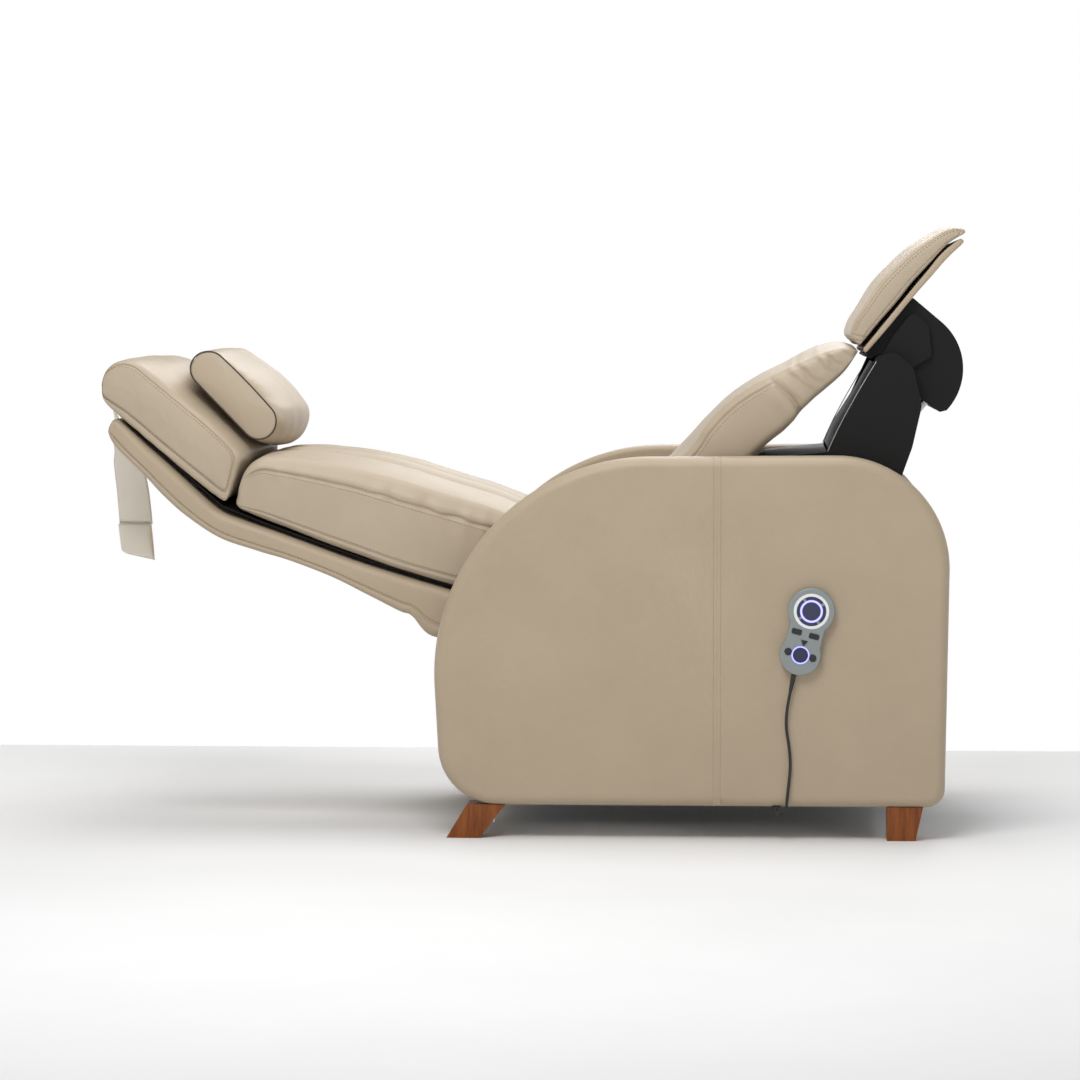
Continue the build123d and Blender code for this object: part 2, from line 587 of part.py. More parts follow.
front_case = plate_at(handset_face, HANDSET_FRONT, HANDSET_SPLIT)
front_case = fillet(front_case.faces().sort_by(Axis.Y)[0].edges(), 3.0)
for name, (face, right, up) in BUTTONS.items():
    placed = on_handset(face, right, up)
    front_case -= plate_at(offset(placed, BUTTON_GAP), HANDSET_FRONT - 1, HANDSET_SPLIT + 1)
    save(plate_at(placed, BUTTON_FACE, BUTTON_INNER), name)
save(front_case, "handset_front_case")
save(plate_at(on_handset(Circle(31) - Circle(25.9)), HANDSET_FRONT - 0.9, HANDSET_FRONT), "dial_ring")
lit_rings = [
    plate_at(on_handset(Circle(19.8) - Circle(16.3)), HANDSET_FRONT - 0.7, HANDSET_FRONT),
    plate_at(
        on_handset(Circle(15.6) - Circle(13.4), 0, -DIAL_TO_LOWER), HANDSET_FRONT - 0.7, HANDSET_FRONT
    ),
]
save(group(lit_rings), "lit_rings")
save(plate_at(on_handset(RectangleRounded(40, 80, 6), 0, -40), HANDSET_BACK, -PANEL_OUTER), "handset_patch")

# ---- Strain relief, cord and grommet -----------------------------------------------------
cord_start = Vector(*CORD_ROUTE[0])
cord_line = Plane(origin=cord_start, z_dir=Vector(*CORD_ROUTE[0]) - Vector(*CORD_ROUTE[1]))
relief = loft([
    cord_line * Circle(CORD_DIAMETER / 2 + 0.6),
    cord_line.offset(29) * Circle(4.6),
])
save(relief - plate_at(handset_face, HANDSET_FRONT - 1, HANDSET_BACK + 1), "strain_relief")


def bend_radii(points):
    """Each corner's radius, as large as its two runs allow."""
    radii = []
    for before, here, after in zip(points, points[1:], points[2:]):
        run_in = Vector(*here) - Vector(*before)
        run_out = Vector(*after) - Vector(*here)
        half_turn = radians(run_in.get_angle(run_out)) / 2
        radii.append(0.45 * min(run_in.length, run_out.length) / tan(half_turn))
    return radii


cord_radii = bend_radii(CORD_ROUTE)
print("cord radii", [round(r, 1) for r in cord_radii])
cord_path = FilletPolyline(*CORD_ROUTE, radius=cord_radii)
cord_section = Plane(origin=cord_path @ 0, z_dir=cord_path % 0) * Circle(CORD_DIAMETER / 2)
cord = sweep(cord_section, path=cord_path)
cord_area = pi * (CORD_DIAMETER / 2) ** 2
print("cord length", round(cord_path.length, 1), "volume ratio", cord.volume / cord_area / cord_path.length)
save(cord, "handset_cord")
grommet_middle = CORD_ROUTE[-1]
grommet = Pos(grommet_middle[0], grommet_middle[1], PANEL_BOTTOM - 1.5) * Cylinder(8, 3)
grommet -= Pos(grommet_middle[0], grommet_middle[1], PANEL_BOTTOM - 1.5) * Cylinder(4.2, 4)
save(grommet, "cord_grommet")
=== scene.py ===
"""The looks of a reclined leather massage chair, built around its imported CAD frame.

Metres, +Z up, head end at -X, leg end at +X, the handset on the -Y side ("near").
"""

import json
import math

import bpy
import numpy as np
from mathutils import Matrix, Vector, noise


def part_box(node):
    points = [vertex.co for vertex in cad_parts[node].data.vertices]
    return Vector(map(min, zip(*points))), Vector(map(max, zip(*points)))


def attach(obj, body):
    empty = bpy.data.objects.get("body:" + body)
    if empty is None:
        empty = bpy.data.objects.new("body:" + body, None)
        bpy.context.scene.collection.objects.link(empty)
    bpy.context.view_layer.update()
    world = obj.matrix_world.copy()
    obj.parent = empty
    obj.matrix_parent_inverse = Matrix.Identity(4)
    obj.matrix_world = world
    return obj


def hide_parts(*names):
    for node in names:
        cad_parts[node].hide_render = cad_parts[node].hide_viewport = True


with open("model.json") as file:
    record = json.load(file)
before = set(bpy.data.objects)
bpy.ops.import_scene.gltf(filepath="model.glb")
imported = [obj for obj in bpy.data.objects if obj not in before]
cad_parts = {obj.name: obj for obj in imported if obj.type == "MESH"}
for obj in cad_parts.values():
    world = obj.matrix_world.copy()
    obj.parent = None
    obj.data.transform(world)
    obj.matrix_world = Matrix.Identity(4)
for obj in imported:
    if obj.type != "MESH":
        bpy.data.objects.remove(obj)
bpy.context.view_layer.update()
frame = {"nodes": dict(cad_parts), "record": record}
NODES = frame["nodes"]

# ---- Sizes shared by several pieces, read from the frame ---------------------------------
PANEL_LOW, PANEL_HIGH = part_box("side_panel_near")
PANEL_OUTER = -PANEL_LOW.y
PANEL_INNER = -PANEL_HIGH.y
PANEL_TOP = PANEL_HIGH.z
PANEL_BOTTOM = PANEL_LOW.z
PAD_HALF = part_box("back_pad_lower")[1].y
SHELL_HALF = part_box("back_shell")[1].y

# All X below are measured from a point this far from the frame's origin, towards the leg end.
SHIFT = Vector((0.020, 0, 0))


# ---- Camera ------------------------------------------------------------------------------
CAMERA_PLACE = Vector((0.411, -7.235, 0.910)) + SHIFT
CAMERA_TARGET = Vector((0.0173, -PANEL_OUTER, 0.5285)) + SHIFT
CAMERA_LENS = 130.6


def make_camera():
    """A long lens at the side, a little above the arm and looking towards the chair's middle."""
    data = bpy.data.cameras.new("camera")
    data.sensor_width = 36.0
    data.lens = CAMERA_LENS
    data.clip_end = 50.0
    camera = bpy.data.objects.new("camera", data)
    bpy.context.scene.collection.objects.link(camera)
    camera.location = CAMERA_PLACE
    camera.rotation_euler = (CAMERA_TARGET - CAMERA_PLACE).to_track_quat("-Z", "Y").to_euler()
    bpy.context.scene.camera = camera
    bpy.context.scene.view_settings.view_transform = "Standard"


make_camera()


# ---- Materials ---------------------------------------------------------------------------
def new_material(name):
    """A material, its node tree's nodes and links, and its shader."""
    material = bpy.data.materials.new(name)
    material.use_nodes = True
    nodes = material.node_tree.nodes
    shader = nodes["Principled BSDF"]
    return material, nodes, material.node_tree.links, shader


def noise_node(nodes, links, scale, detail=4.0, rough=0.5, stretch=(1, 1, 1)):
    """A noise texture on the object's own coordinates, with the mapping before it."""
    place = nodes.new("ShaderNodeTexCoord")
    mapping = nodes.new("ShaderNodeMapping")
    mapping.inputs["Scale"].default_value = stretch
    links.new(place.outputs["Object"], mapping.inputs["Vector"])
    texture = nodes.new("ShaderNodeTexNoise")
    texture.inputs["Scale"].default_value = scale
    texture.inputs["Detail"].default_value = detail
    texture.inputs["Roughness"].default_value = rough
    links.new(mapping.outputs["Vector"], texture.inputs["Vector"])
    return texture, mapping


def ramp(nodes, links, source, low, high, at=(0.3, 0.7)):
    """A blend from one colour to another as the source runs between the two places."""
    colours = nodes.new("ShaderNodeValToRGB")
    colours.color_ramp.elements[0].position = at[0]
    colours.color_ramp.elements[0].color = (*low, 1)
    colours.color_ramp.elements[1].position = at[1]
    colours.color_ramp.elements[1].color = (*high, 1)
    links.new(source, colours.inputs["Fac"])
    return colours


def add_bump(nodes, links, shader, height, strength, distance, below=None):
    bump = nodes.new("ShaderNodeBump")
    bump.inputs["Strength"].default_value = strength
    bump.inputs["Distance"].default_value = distance
    links.new(height, bump.inputs["Height"])
    if below is not None:
        links.new(below.outputs["Normal"], bump.inputs["Normal"])
    links.new(bump.outputs["Normal"], shader.inputs["Normal"])
    return bump


def rough_range(nodes, links, shader, source, low, high):
    spread = nodes.new("ShaderNodeMapRange")
    spread.inputs["To Min"].default_value = low
    spread.inputs["To Max"].default_value = high
    links.new(source, spread.inputs["Value"])
    links.new(spread.outputs["Result"], shader.inputs["Roughness"])


def leather(name, dark, light, rough=(0.42, 0.56)):
    """Semi-aniline leather: pebbled grain, fine pores, slow tonal drift."""
    material, nodes, links, shader = new_material(name)
    drift, _ = noise_node(nodes, links, 5.0, 5.0, 0.6)
    tone = ramp(nodes, links, drift.outputs["Fac"], dark, light)
    links.new(tone.outputs["Color"], shader.inputs["Base Color"])
    grain = nodes.new("ShaderNodeTexVoronoi")
    grain.inputs["Scale"].default_value = 420.0
    pores, mapping = noise_node(nodes, links, 900.0, 3.0, 0.6)
    links.new(mapping.outputs["Vector"], grain.inputs["Vector"])
    first = add_bump(nodes, links, shader, grain.outputs["Distance"], 0.22, 0.0006)
    second = add_bump(nodes, links, shader, pores.outputs["Fac"], 0.12, 0.0004, first)
    soft, _ = noise_node(nodes, links, 28.0, 3.0, 0.5)
    add_bump(nodes, links, shader, soft.outputs["Fac"], 0.12, 0.003, second)
    rough_range(nodes, links, shader, drift.outputs["Fac"], *rough)
    shader.inputs["Specular IOR Level"].default_value = 0.42
    shader.inputs["Sheen Weight"].default_value = 0.08
    shader.inputs["Sheen Roughness"].default_value = 0.4
    return material


def plastic(name, dark, light, rough=(0.4, 0.5), grain=1600.0, bump=0.06, clear=0.0, gloss=0.5):
    material, nodes, links, shader = new_material(name)
    texture, _ = noise_node(nodes, links, grain, 2.0, 0.5)
    tone = ramp(nodes, links, texture.outputs["Fac"], dark, light)
    links.new(tone.outputs["Color"], shader.inputs["Base Color"])
    add_bump(nodes, links, shader, texture.outputs["Fac"], bump, 0.0003)
    rough_range(nodes, links, shader, texture.outputs["Fac"], *rough)
    shader.inputs["Coat Weight"].default_value = clear
    shader.inputs["Specular IOR Level"].default_value = gloss
    return material


def metal(name, dark, light, rough=(0.28, 0.42), metallic=1.0, stretch=(1, 12, 1)):
    material, nodes, links, shader = new_material(name)
    texture, _ = noise_node(nodes, links, 180.0, 4.0, 0.6, stretch)
    tone = ramp(nodes, links, texture.outputs["Fac"], dark, light)
    links.new(tone.outputs["Color"], shader.inputs["Base Color"])
    add_bump(nodes, links, shader, texture.outputs["Fac"], 0.05, 0.0002)
    rough_range(nodes, links, shader, texture.outputs["Fac"], *rough)
    shader.inputs["Metallic"].default_value = metallic
    return material


def wood(name, dark, light, stretch=(14, 14, 1.0), scale=9.0):
    """Stained hardwood with its grain along Z."""
    material, nodes, links, shader = new_material(name)
    grain, _ = noise_node(nodes, links, scale, 6.0, 0.65, stretch)
    tone = ramp(nodes, links, grain.outputs["Fac"], dark, light, (0.35, 0.68))
    links.new(tone.outputs["Color"], shader.inputs["Base Color"])
    pores, _ = noise_node(nodes, links, 60.0, 4.0, 0.6, stretch)
    add_bump(nodes, links, shader, pores.outputs["Fac"], 0.15, 0.0004)
    rough_range(nodes, links, shader, grain.outputs["Fac"], 0.32, 0.46)
    shader.inputs["Specular IOR Level"].default_value = 0.3
    shader.inputs["Coat Weight"].default_value = 0.06
    shader.inputs["Coat Roughness"].default_value = 0.25
    return material


def webbing(name, dark, light, scale=900.0, sheen=0.2):
    """A woven cloth: two crossed sets of fine ribs."""
    material, nodes, links, shader = new_material(name)
    place = nodes.new("ShaderNodeTexCoord")
    heights = []
    for direction in ("X", "Z"):
        wave = nodes.new("ShaderNodeTexWave")
        wave.bands_direction = direction
        wave.inputs["Scale"].default_value = scale / 6
        wave.inputs["Distortion"].default_value = 0.3
        links.new(place.outputs["Object"], wave.inputs["Vector"])
        heights.append(wave)
    weave = nodes.new("ShaderNodeMath")
    weave.operation = "MAXIMUM"
    links.new(heights[0].outputs["Fac"], weave.inputs[0])
    links.new(heights[1].outputs["Fac"], weave.inputs[1])
    tone = ramp(nodes, links, weave.outputs["Value"], dark, light)
    links.new(tone.outputs["Color"], shader.inputs["Base Color"])
    add_bump(nodes, links, shader, weave.outputs["Value"], 0.35, 0.0004)
    shader.inputs["Roughness"].default_value = 0.8
    shader.inputs["Specular IOR Level"].default_value = 0.2
    shader.inputs["Sheen Weight"].default_value = sheen
    return material


def lit(name, colour, strength):
    material, nodes, links, shader = new_material(name)
    texture, _ = noise_node(nodes, links, 300.0, 2.0)
    tone = ramp(nodes, links, texture.outputs["Fac"], tuple(0.9 * c for c in colour), colour)
    links.new(tone.outputs["Color"], shader.inputs["Base Color"])
    shader.inputs["Emission Color"].default_value = (*colour, 1)
    shader.inputs["Emission Strength"].default_value = strength
    shader.inputs["Roughness"].default_value = 0.3
    return material


LEATHER = leather("leather_side", (0.400, 0.318, 0.222), (0.435, 0.348, 0.246))
PAD_LEATHER = leather("leather_pad", (0.420, 0.342, 0.248), (0.465, 0.382, 0.282), (0.40, 0.52))
PIPING = leather("leather_piping", (0.045, 0.035, 0.025), (0.065, 0.050, 0.038))
THREAD = webbing("thread", (0.20, 0.155, 0.10), (0.30, 0.24, 0.165))
LINER = webbing("liner_cloth", (0.003, 0.002, 0.002), (0.007, 0.005, 0.0045), sheen=0.0)
# Strap leather whose colour is lightened well past the chair's leather to make up for the shade it hangs
# in: painted light.
STRAP_LIGHTENED = leather("leather_strap_painted_light", (0.70, 0.64, 0.54), (0.78, 0.72, 0.62))
SLOT_MATERIALS = {
    "leather": LEATHER,
    "pad_leather": PAD_LEATHER,
    "liner": LINER,
    "wood": wood("cherry_wood", (0.150, 0.036, 0.004), (0.310, 0.090, 0.013)),
    "plywood": wood("plywood", (0.40, 0.27, 0.15), (0.55, 0.40, 0.25), (1, 1, 14)),
    "black_plastic": plastic("black_plastic", (0.0060, 0.0060, 0.0060), (0.0085, 0.0085, 0.0085),
                             (0.46, 0.56), gloss=0.2),
    "black_steel": plastic("black_steel", (0.0060, 0.0060, 0.0062), (0.0090, 0.0090, 0.0095),
                           (0.42, 0.52), gloss=0.2),
    "zinc_steel": metal("zinc_steel", (0.42, 0.42, 0.43), (0.60, 0.60, 0.60)),
    "handset_grey": plastic("handset_grey", (0.215, 0.240, 0.240), (0.260, 0.285, 0.285),
                            (0.34, 0.44), 1200.0, 0.04, 0.2),
    "handset_dark": plastic("handset_dark", (0.010, 0.010, 0.014), (0.018, 0.018, 0.024),
                            (0.25, 0.35)),
    "button_navy": plastic("button_navy", (0.008, 0.010, 0.045), (0.014, 0.018, 0.070),
                           (0.16, 0.26), 1200.0, 0.03, 0.5),
    "ring_white": plastic("ring_white", (0.72, 0.74, 0.74), (0.82, 0.84, 0.84), (0.2, 0.3)),
    "ring_lit": lit("ring_lit", (0.30, 0.30, 0.95), 1.6),
    "board_green": plastic("board_green", (0.010, 0.10, 0.035), (0.016, 0.14, 0.05)),
    "roller": plastic("roller", (0.30, 0.28, 0.24), (0.38, 0.36, 0.31)),
    "cord_black": plastic("cord_black", (0.014, 0.014, 0.014), (0.022, 0.022, 0.022),
                          (0.5, 0.62), 900.0, 0.08),
    "strap_web": STRAP_LIGHTENED,
}


def dress_frame():
    """Every CAD node gets the material of its slot."""
    for part in frame["record"]["subparts"]:
        node = NODES[part["node"]]
        node.data.materials.clear()
        node.data.materials.append(SLOT_MATERIALS[part["material_slot"]])


dress_frame()


# ---- Mesh helpers ------------------------------------------------------------------------
UP_HINT = (0.0, 0.31, 0.95)      # leans off the vertical, so that no bead or thread runs along it
NEAREST_STATIONS = 0.0011
TOLERANCE = 1e-9


def add_mesh(name, verts, faces, material, smooth=True):
    """An object made of the points and faces, moved into the frame's own coordinates."""
    mesh = bpy.data.meshes.new(name)
    moved = [tuple(Vector(v) + SHIFT) for v in verts]
    mesh.from_pydata(moved, [], [tuple(int(i) for i in f) for f in faces])
    mesh.validate()
    mesh.update()
    mesh.materials.append(material)
    for polygon in mesh.polygons:
        polygon.use_smooth = smooth
    thing = bpy.data.objects.new(name, mesh)
    bpy.context.scene.collection.objects.link(thing)
    return thing


def smooth_line(points):
    """A function of 0..1 that runs smoothly through the points, at an even pace."""
    points = np.array(points, float)
    steps = np.linalg.norm(np.diff(points, axis=0), axis=1)
    knots = np.concatenate([[0], np.cumsum(steps)]) / steps.sum()
    ends = np.vstack([2 * points[0] - points[1], points, 2 * points[-1] - points[-2]])

    def at(u):
        u = np.asarray(u, float)
        inside = np.clip(u, 0, 1)
        i = np.clip(np.searchsorted(knots, inside, "right") - 1, 0, len(points) - 2)
        t = ((inside - knots[i]) / (knots[i + 1] - knots[i]))[..., None]
        a, b, c, d = ends[i], ends[i + 1], ends[i + 2], ends[i + 3]
        place = 0.5 * (2 * b + (c - a) * t + (2 * a - 5 * b + 4 * c - d) * t ** 2
                       + (3 * b - a - 3 * c + d) * t ** 3)
        first = (points[1] - points[0]) / knots[1]
        last = (points[-1] - points[-2]) / (knots[-1] - knots[-2])
        beyond = np.where(u < 0, u, 0)[..., None] * first + np.where(u > 1, u - 1, 0)[..., None] * last
        return place + beyond

    return at


def graded(low, high, step, fine=()):
    """Numbers from low to high about a step apart, with finer ones near the given places."""
    values = list(np.linspace(low, high, max(2, int(round((high - low) / step)) + 1)))
    for centre, reach, fine_step in fine:
        values += list(np.arange(centre - reach, centre + reach + TOLERANCE, fine_step))
    values = sorted(v for v in values if low - TOLERANCE <= v <= high + TOLERANCE)
    kept = [low]
    for v in values:
        if v - kept[-1] > NEAREST_STATIONS:
            kept.append(v)
    kept[-1] = high
    return np.array(kept)


def graded_across(half, step, reach, fine_step, extra=()):
    """Stations from -half to half, finer near both sides."""
    return graded(-half, half, step, [(-half, reach, fine_step), (half, reach, fine_step), *extra])


def gauss(x, width):
    """A smooth bump of height 1 at x = 0."""
    return np.exp(-(x / width) ** 2)


def hill(u, power=6):
    """1 in the middle of 0..1 and 0 at both ends."""
    return 1 - np.abs(2 * u - 1) ** power


def smooth_noise(places, scale, seed=0.0):
    """Slow, seeded swelling between about -1 and 1 at each of the places."""
    return np.array([noise.noise(Vector(p) * scale + Vector((seed, seed, seed))) for p in places])


def loop_gap(x, z, low, high, radius):
    """How far outside (or inside, below zero) a rounded rectangle the points x, z are."""
    middle_x, middle_z = (low[0] + high[0]) / 2, (low[1] + high[1]) / 2
    gap_x = np.abs(x - middle_x) - (high[0] - low[0]) / 2 + radius
    gap_z = np.abs(z - middle_z) - (high[1] - low[1]) / 2 + radius
    outside = np.hypot(np.maximum(gap_x, 0), np.maximum(gap_z, 0))
    return outside + np.minimum(np.maximum(gap_x, gap_z), 0) - radius


def loop_path(low, high, radius, step=0.004):
    """x, z points round the same rounded rectangle."""
    corners = [(high[0], high[1]), (low[0], high[1]), (low[0], low[1]), (high[0], low[1])]
    return rounded_outline(corners, [radius] * 4, step)


class Pad:
    """A boxed pad that lies between a lower line and an upper surface and runs across Y.

    crown is the upper line in the pad's middle and seam the upper line at its two sides;
    sole is the lower line at its sides, where that differs from bottom.
    Its own measures are x along the lines, y across, and z from the lower line up.
    """

    def __init__(self, bottom, crown, seam, half, length, height, edge, flat=3.0, relief=None,
                 sole=None):
        self.bottom, self.crown, self.seam = map(smooth_line, (bottom, crown, seam))
        self.sole = smooth_line(sole or bottom)
        self.size = np.array([length, half, height])
        self.edge = edge
        self.flat = flat
        self.relief = relief

    def at(self, places, lift=0.0):
        """World places of points given on the pad's plain box."""
        p = np.atleast_2d(np.array(places, float))
        length, half, height = self.size
        low = np.array([self.edge, -half + self.edge, self.edge])
        high = np.array([length - self.edge, half - self.edge, height - self.edge])
        core = np.clip(p, low, high)
        out = p - core
        out /= np.maximum(np.linalg.norm(out, axis=1), 1e-9)[:, None]
        push = np.full(len(p), lift)
        if self.relief:
            push = push + self.relief(p, out)
        q = core + out * (self.edge + push)[:, None]
        u, v, w = q[:, 0] / length, np.clip(np.abs(q[:, 1]) / half, 0, 1), q[:, 2] / height
        side, rim = (v ** self.flat)[:, None], (v ** 10)[:, None]
        top = self.crown(u) * (1 - side) + self.seam(u) * side
        low_line = self.bottom(u) * (1 - rim) + self.sole(u) * rim
        xz = low_line * (1 - w)[:, None] + top * w[:, None]
        return np.column_stack([xz[:, 0], q[:, 1], xz[:, 1]])

    def build(self, name, material, xs, ys, zs):
        """The pad's closed skin on a lattice of the given stations."""
        counts = (len(xs), len(ys), len(zs))
        index = -np.ones(counts, int)
        shell = np.zeros(counts, bool)
        shell[[0, -1], :, :] = True
        shell[:, [0, -1], :] = True
        shell[:, :, [0, -1]] = True
        cells = np.argwhere(shell)
        index[shell] = np.arange(len(cells))
        places = np.column_stack([xs[cells[:, 0]], ys[cells[:, 1]], zs[cells[:, 2]]])
        faces = []
        for axis in range(3):
            for end, flip in ((0, False), (counts[axis] - 1, True)):
                sheet = np.take(index, end, axis=axis)
                if axis == 1:
                    flip = not flip
                a, b = sheet[:-1, :-1].ravel(), sheet[1:, :-1].ravel()
                c, d = sheet[1:, 1:].ravel(), sheet[:-1, 1:].ravel()
                quads = np.column_stack([a, b, c, d] if flip else [a, d, c, b])
                faces.append(quads)
        return add_mesh(name, self.at(places), np.vstack(faces), material)

    def line(self, xs, y, z, lift=0.0):
        """A run of world places along the pad at one y and z of its own measures."""
        xs = np.asarray(xs, float)
        return self.at(np.column_stack([xs, np.full(len(xs), y), np.full(len(xs), z)]), lift)

    def side_loop(self, side, low, high, radius, lift=0.0):
        """World places round a rounded rectangle on one of the pad's side faces."""
        loop = loop_path(low, high, radius)
        loop = np.vstack([loop, loop[:1]])
        return self.at(np.column_stack([loop[:, 0], np.full(len(loop), side * self.size[1]),
                                        loop[:, 1]]), lift)


def ring_skin(rings, count):
    """Faces between rings of count points each, with both ends closed."""
    faces = [(i * count + j, (i + 1) * count + j, (i + 1) * count + (j + 1) % count,
              i * count + (j + 1) % count) for i in range(rings - 1) for j in range(count)]
    faces.append(tuple(range(count)))
    faces.append(tuple(range(rings * count - 1, (rings - 1) * count - 1, -1)))
    return faces


def tube_along(name, path, radius, material, sides=8, closed=False):
    """A round bead that follows a run of places."""
    path = np.array(path, float)
    count = len(path)
    if closed:
        heading = np.roll(path, -1, 0) - np.roll(path, 1, 0)
    else:
        heading = np.gradient(path, axis=0)
    heading /= np.linalg.norm(heading, axis=1)[:, None]
    across = np.cross(heading, UP_HINT)
    across /= np.linalg.norm(across, axis=1)[:, None]
    other = np.cross(across, heading)
    turns = np.linspace(0, 2 * math.pi, sides, endpoint=False)
    verts = np.vstack([
        path[i] + radius * (np.outer(np.cos(turns), across[i]) + np.outer(np.sin(turns), other[i]))
        for i in range(count)
    ])
    faces = []
    for i in range(count if closed else count - 1):
        for j in range(sides):
            k = (i + 1) % count
            n = (j + 1) % sides
            faces.append((i * sides + j, i * sides + n, k * sides + n, k * sides + j))
    if not closed:
        faces.append(tuple(range(sides - 1, -1, -1)))
        faces.append(tuple((count - 1) * sides + j for j in range(sides)))
    return add_mesh(name, verts, faces, material)


def along_path(path, spacing):
    """Places on a path, at the distances that spacing gives for the path's whole length."""
    path = np.array(path, float)
    steps = np.linalg.norm(np.diff(path, axis=0), axis=1)
    along = np.concatenate([[0], np.cumsum(steps)])
    return np.column_stack([np.interp(spacing(along[-1]), along, column) for column in path.T])


# Each thread's rings: place along it as a share of its length, and thickness as a share of its radius.
THREAD_RINGS = ((-0.5, 0.3), (-0.28, 1.0), (0.28, 1.0), (0.5, 0.3))
THREAD_LIFT = 0.0003


def stitches(name, paths, pitch=0.0062, length=0.0044, radius=0.00055):
    """Rows of short threads laid along the paths, as one piece."""
    verts, faces = [], []
    for path in paths:
        spots = along_path(path, lambda total: np.arange(pitch / 2, total, pitch))
        heading = np.gradient(spots, axis=0)
        heading /= np.linalg.norm(heading, axis=1)[:, None]
        for spot, way in zip(spots, heading):
            across = np.cross(way, UP_HINT)
            across /= np.linalg.norm(across)
            other = np.cross(across, way)
            base = len(verts)
            for shift, size in THREAD_RINGS:
                for a, b in ((1, 0), (0, 1), (-1, 0), (0, -1)):
                    verts.append(spot + way * shift * length + radius * size * (a * across + b * other))
            for ring in range(3):
                for j in range(4):
                    n = (j + 1) % 4
                    low = base + ring * 4
                    faces.append((low + j, low + n, low + 4 + n, low + 4 + j))
            faces.append((base + 3, base + 2, base + 1, base))
            faces.append((base + 12, base + 13, base + 14, base + 15))
    return add_mesh(name, verts, faces, THREAD)


# ---- Handset cord ------------------------------------------------------------------------
CORD_DIAMETER = 0.0052
# The route of the CAD cord, from the strain relief down to the grommet.
CORD_ROUTE = [
    (0.4570, -0.3890, 0.2660),
    (0.4505, -0.3880, 0.2340),
    (0.4490, -0.3870, 0.2000),
    (0.4555, -0.3865, 0.1660),
    (0.4575, -0.3865, 0.1300),
    (0.4540, -0.3865, 0.0980),
    (0.4515, -0.3860, 0.0720),
    (0.4495, -0.3850, 0.0515),
    (0.4415, -0.3770, 0.0425),
    (0.4335, -0.3685, 0.0505),
    (0.4330, -0.3670, 0.0600),
]


def make_cord():
    curve = bpy.data.curves.new("handset_lead", "CURVE")
    curve.dimensions = "3D"
    curve.bevel_depth = CORD_DIAMETER / 2
    curve.bevel_resolution = 5
    curve.resolution_u = 16
    spline = curve.splines.new("NURBS")
    spline.points.add(len(CORD_ROUTE) - 1)
    for point, place in zip(spline.points, CORD_ROUTE):
        point.co = (*(Vector(place) + SHIFT), 1.0)
    spline.order_u = 3
    spline.use_endpoint_u = True
    curve.materials.append(SLOT_MATERIALS["cord_black"])
    cord = bpy.data.objects.new("handset_lead", curve)
    bpy.context.scene.collection.objects.link(cord)
    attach(cord, "base")
    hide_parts("handset_cord")


make_cord()


def finish_pad(piece, body, node):
    """Tie a stuffed piece to its body and hide the CAD solid that it stands for."""
    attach(piece, body)
    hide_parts(node)


def ride_all(pieces, body):
    """Tie beads, welts and threads to the body that they are sewn to."""
    for piece in pieces:
        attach(piece, body)


def side_rows(pad, run, half, *heights):
    """Stitch lines on both side faces of a pad, at the given heights of its own measures."""
    return [pad.line(run, side * half, z, THREAD_LIFT) for side in (-1, 1) for z in heights]


# ---- Upper back pad ----------------------------------------------------------------------
def make_upper_pad():
    length, height, edge = 0.330, 0.120, 0.011
    low, high, turn = (0.010, 0.020), (length - 0.012, height - 0.009), 0.016

    def relief(p, out):
        side = np.abs(out[:, 1])
        gap = loop_gap(p[:, 0], p[:, 2], low, high, turn)
        gusset = 0.006 * side * np.clip(-gap / 0.045, 0, 1) ** 0.5
        seam = -0.0026 * side * gauss(gap, 0.0024)
        return gusset + seam + 0.0016 * smooth_noise(p, 17.0, 3.0) + 0.0006 * smooth_noise(p, 60.0, 8.0)

    pad = Pad(
        bottom=[(-.776, .790), (-.770, .769), (-.745, .748), (-.700, .710), (-.650, .667),
                (-.605, .629), (-.566, .598), (-.553, .595), (-.546, .603)],
        sole=[(-.776, .790), (-.771, .768), (-.747, .742), (-.700, .702), (-.660, .668),
              (-.614, .631), (-.568, .596), (-.5555, .589), (-.547, .598)],
        crown=[(-.777, .797), (-.768, .827), (-.744, .844), (-.702, .848), (-.658, .836),
               (-.614, .791), (-.563, .743), (-.518, .697), (-.508, .682), (-.509, .668)],
        seam=[(-.777, .796), (-.768, .824), (-.746, .840), (-.718, .838), (-.686, .813),
              (-.624, .762), (-.583, .728), (-.549, .695), (-.526, .667)],
        half=PAD_HALF, length=length, height=height, edge=edge, flat=2.8, relief=relief)
    xs = graded(0, length, 0.005, [(0.010, 0.006, 0.0016), (length - 0.012, 0.006, 0.0016)])
    ys = graded_across(PAD_HALF, 0.008, 0.014, 0.002)
    zs = graded(0, height, 0.005, [(high[1], 0.007, 0.0014), (low[1], 0.006, 0.0014)])
    piece = pad.build("upper_pad_cover", PAD_LEATHER, xs, ys, zs)
    finish_pad(piece, "back", "back_pad_upper")
    inner = 0.0038
    thread_low, thread_high = [v + inner for v in low], [v - inner for v in high]
    rows = [pad.side_loop(side, thread_low, thread_high, turn, THREAD_LIFT) for side in (-1, 1)]
    ride_all([stitches("upper_pad_stitching", rows)], "back")


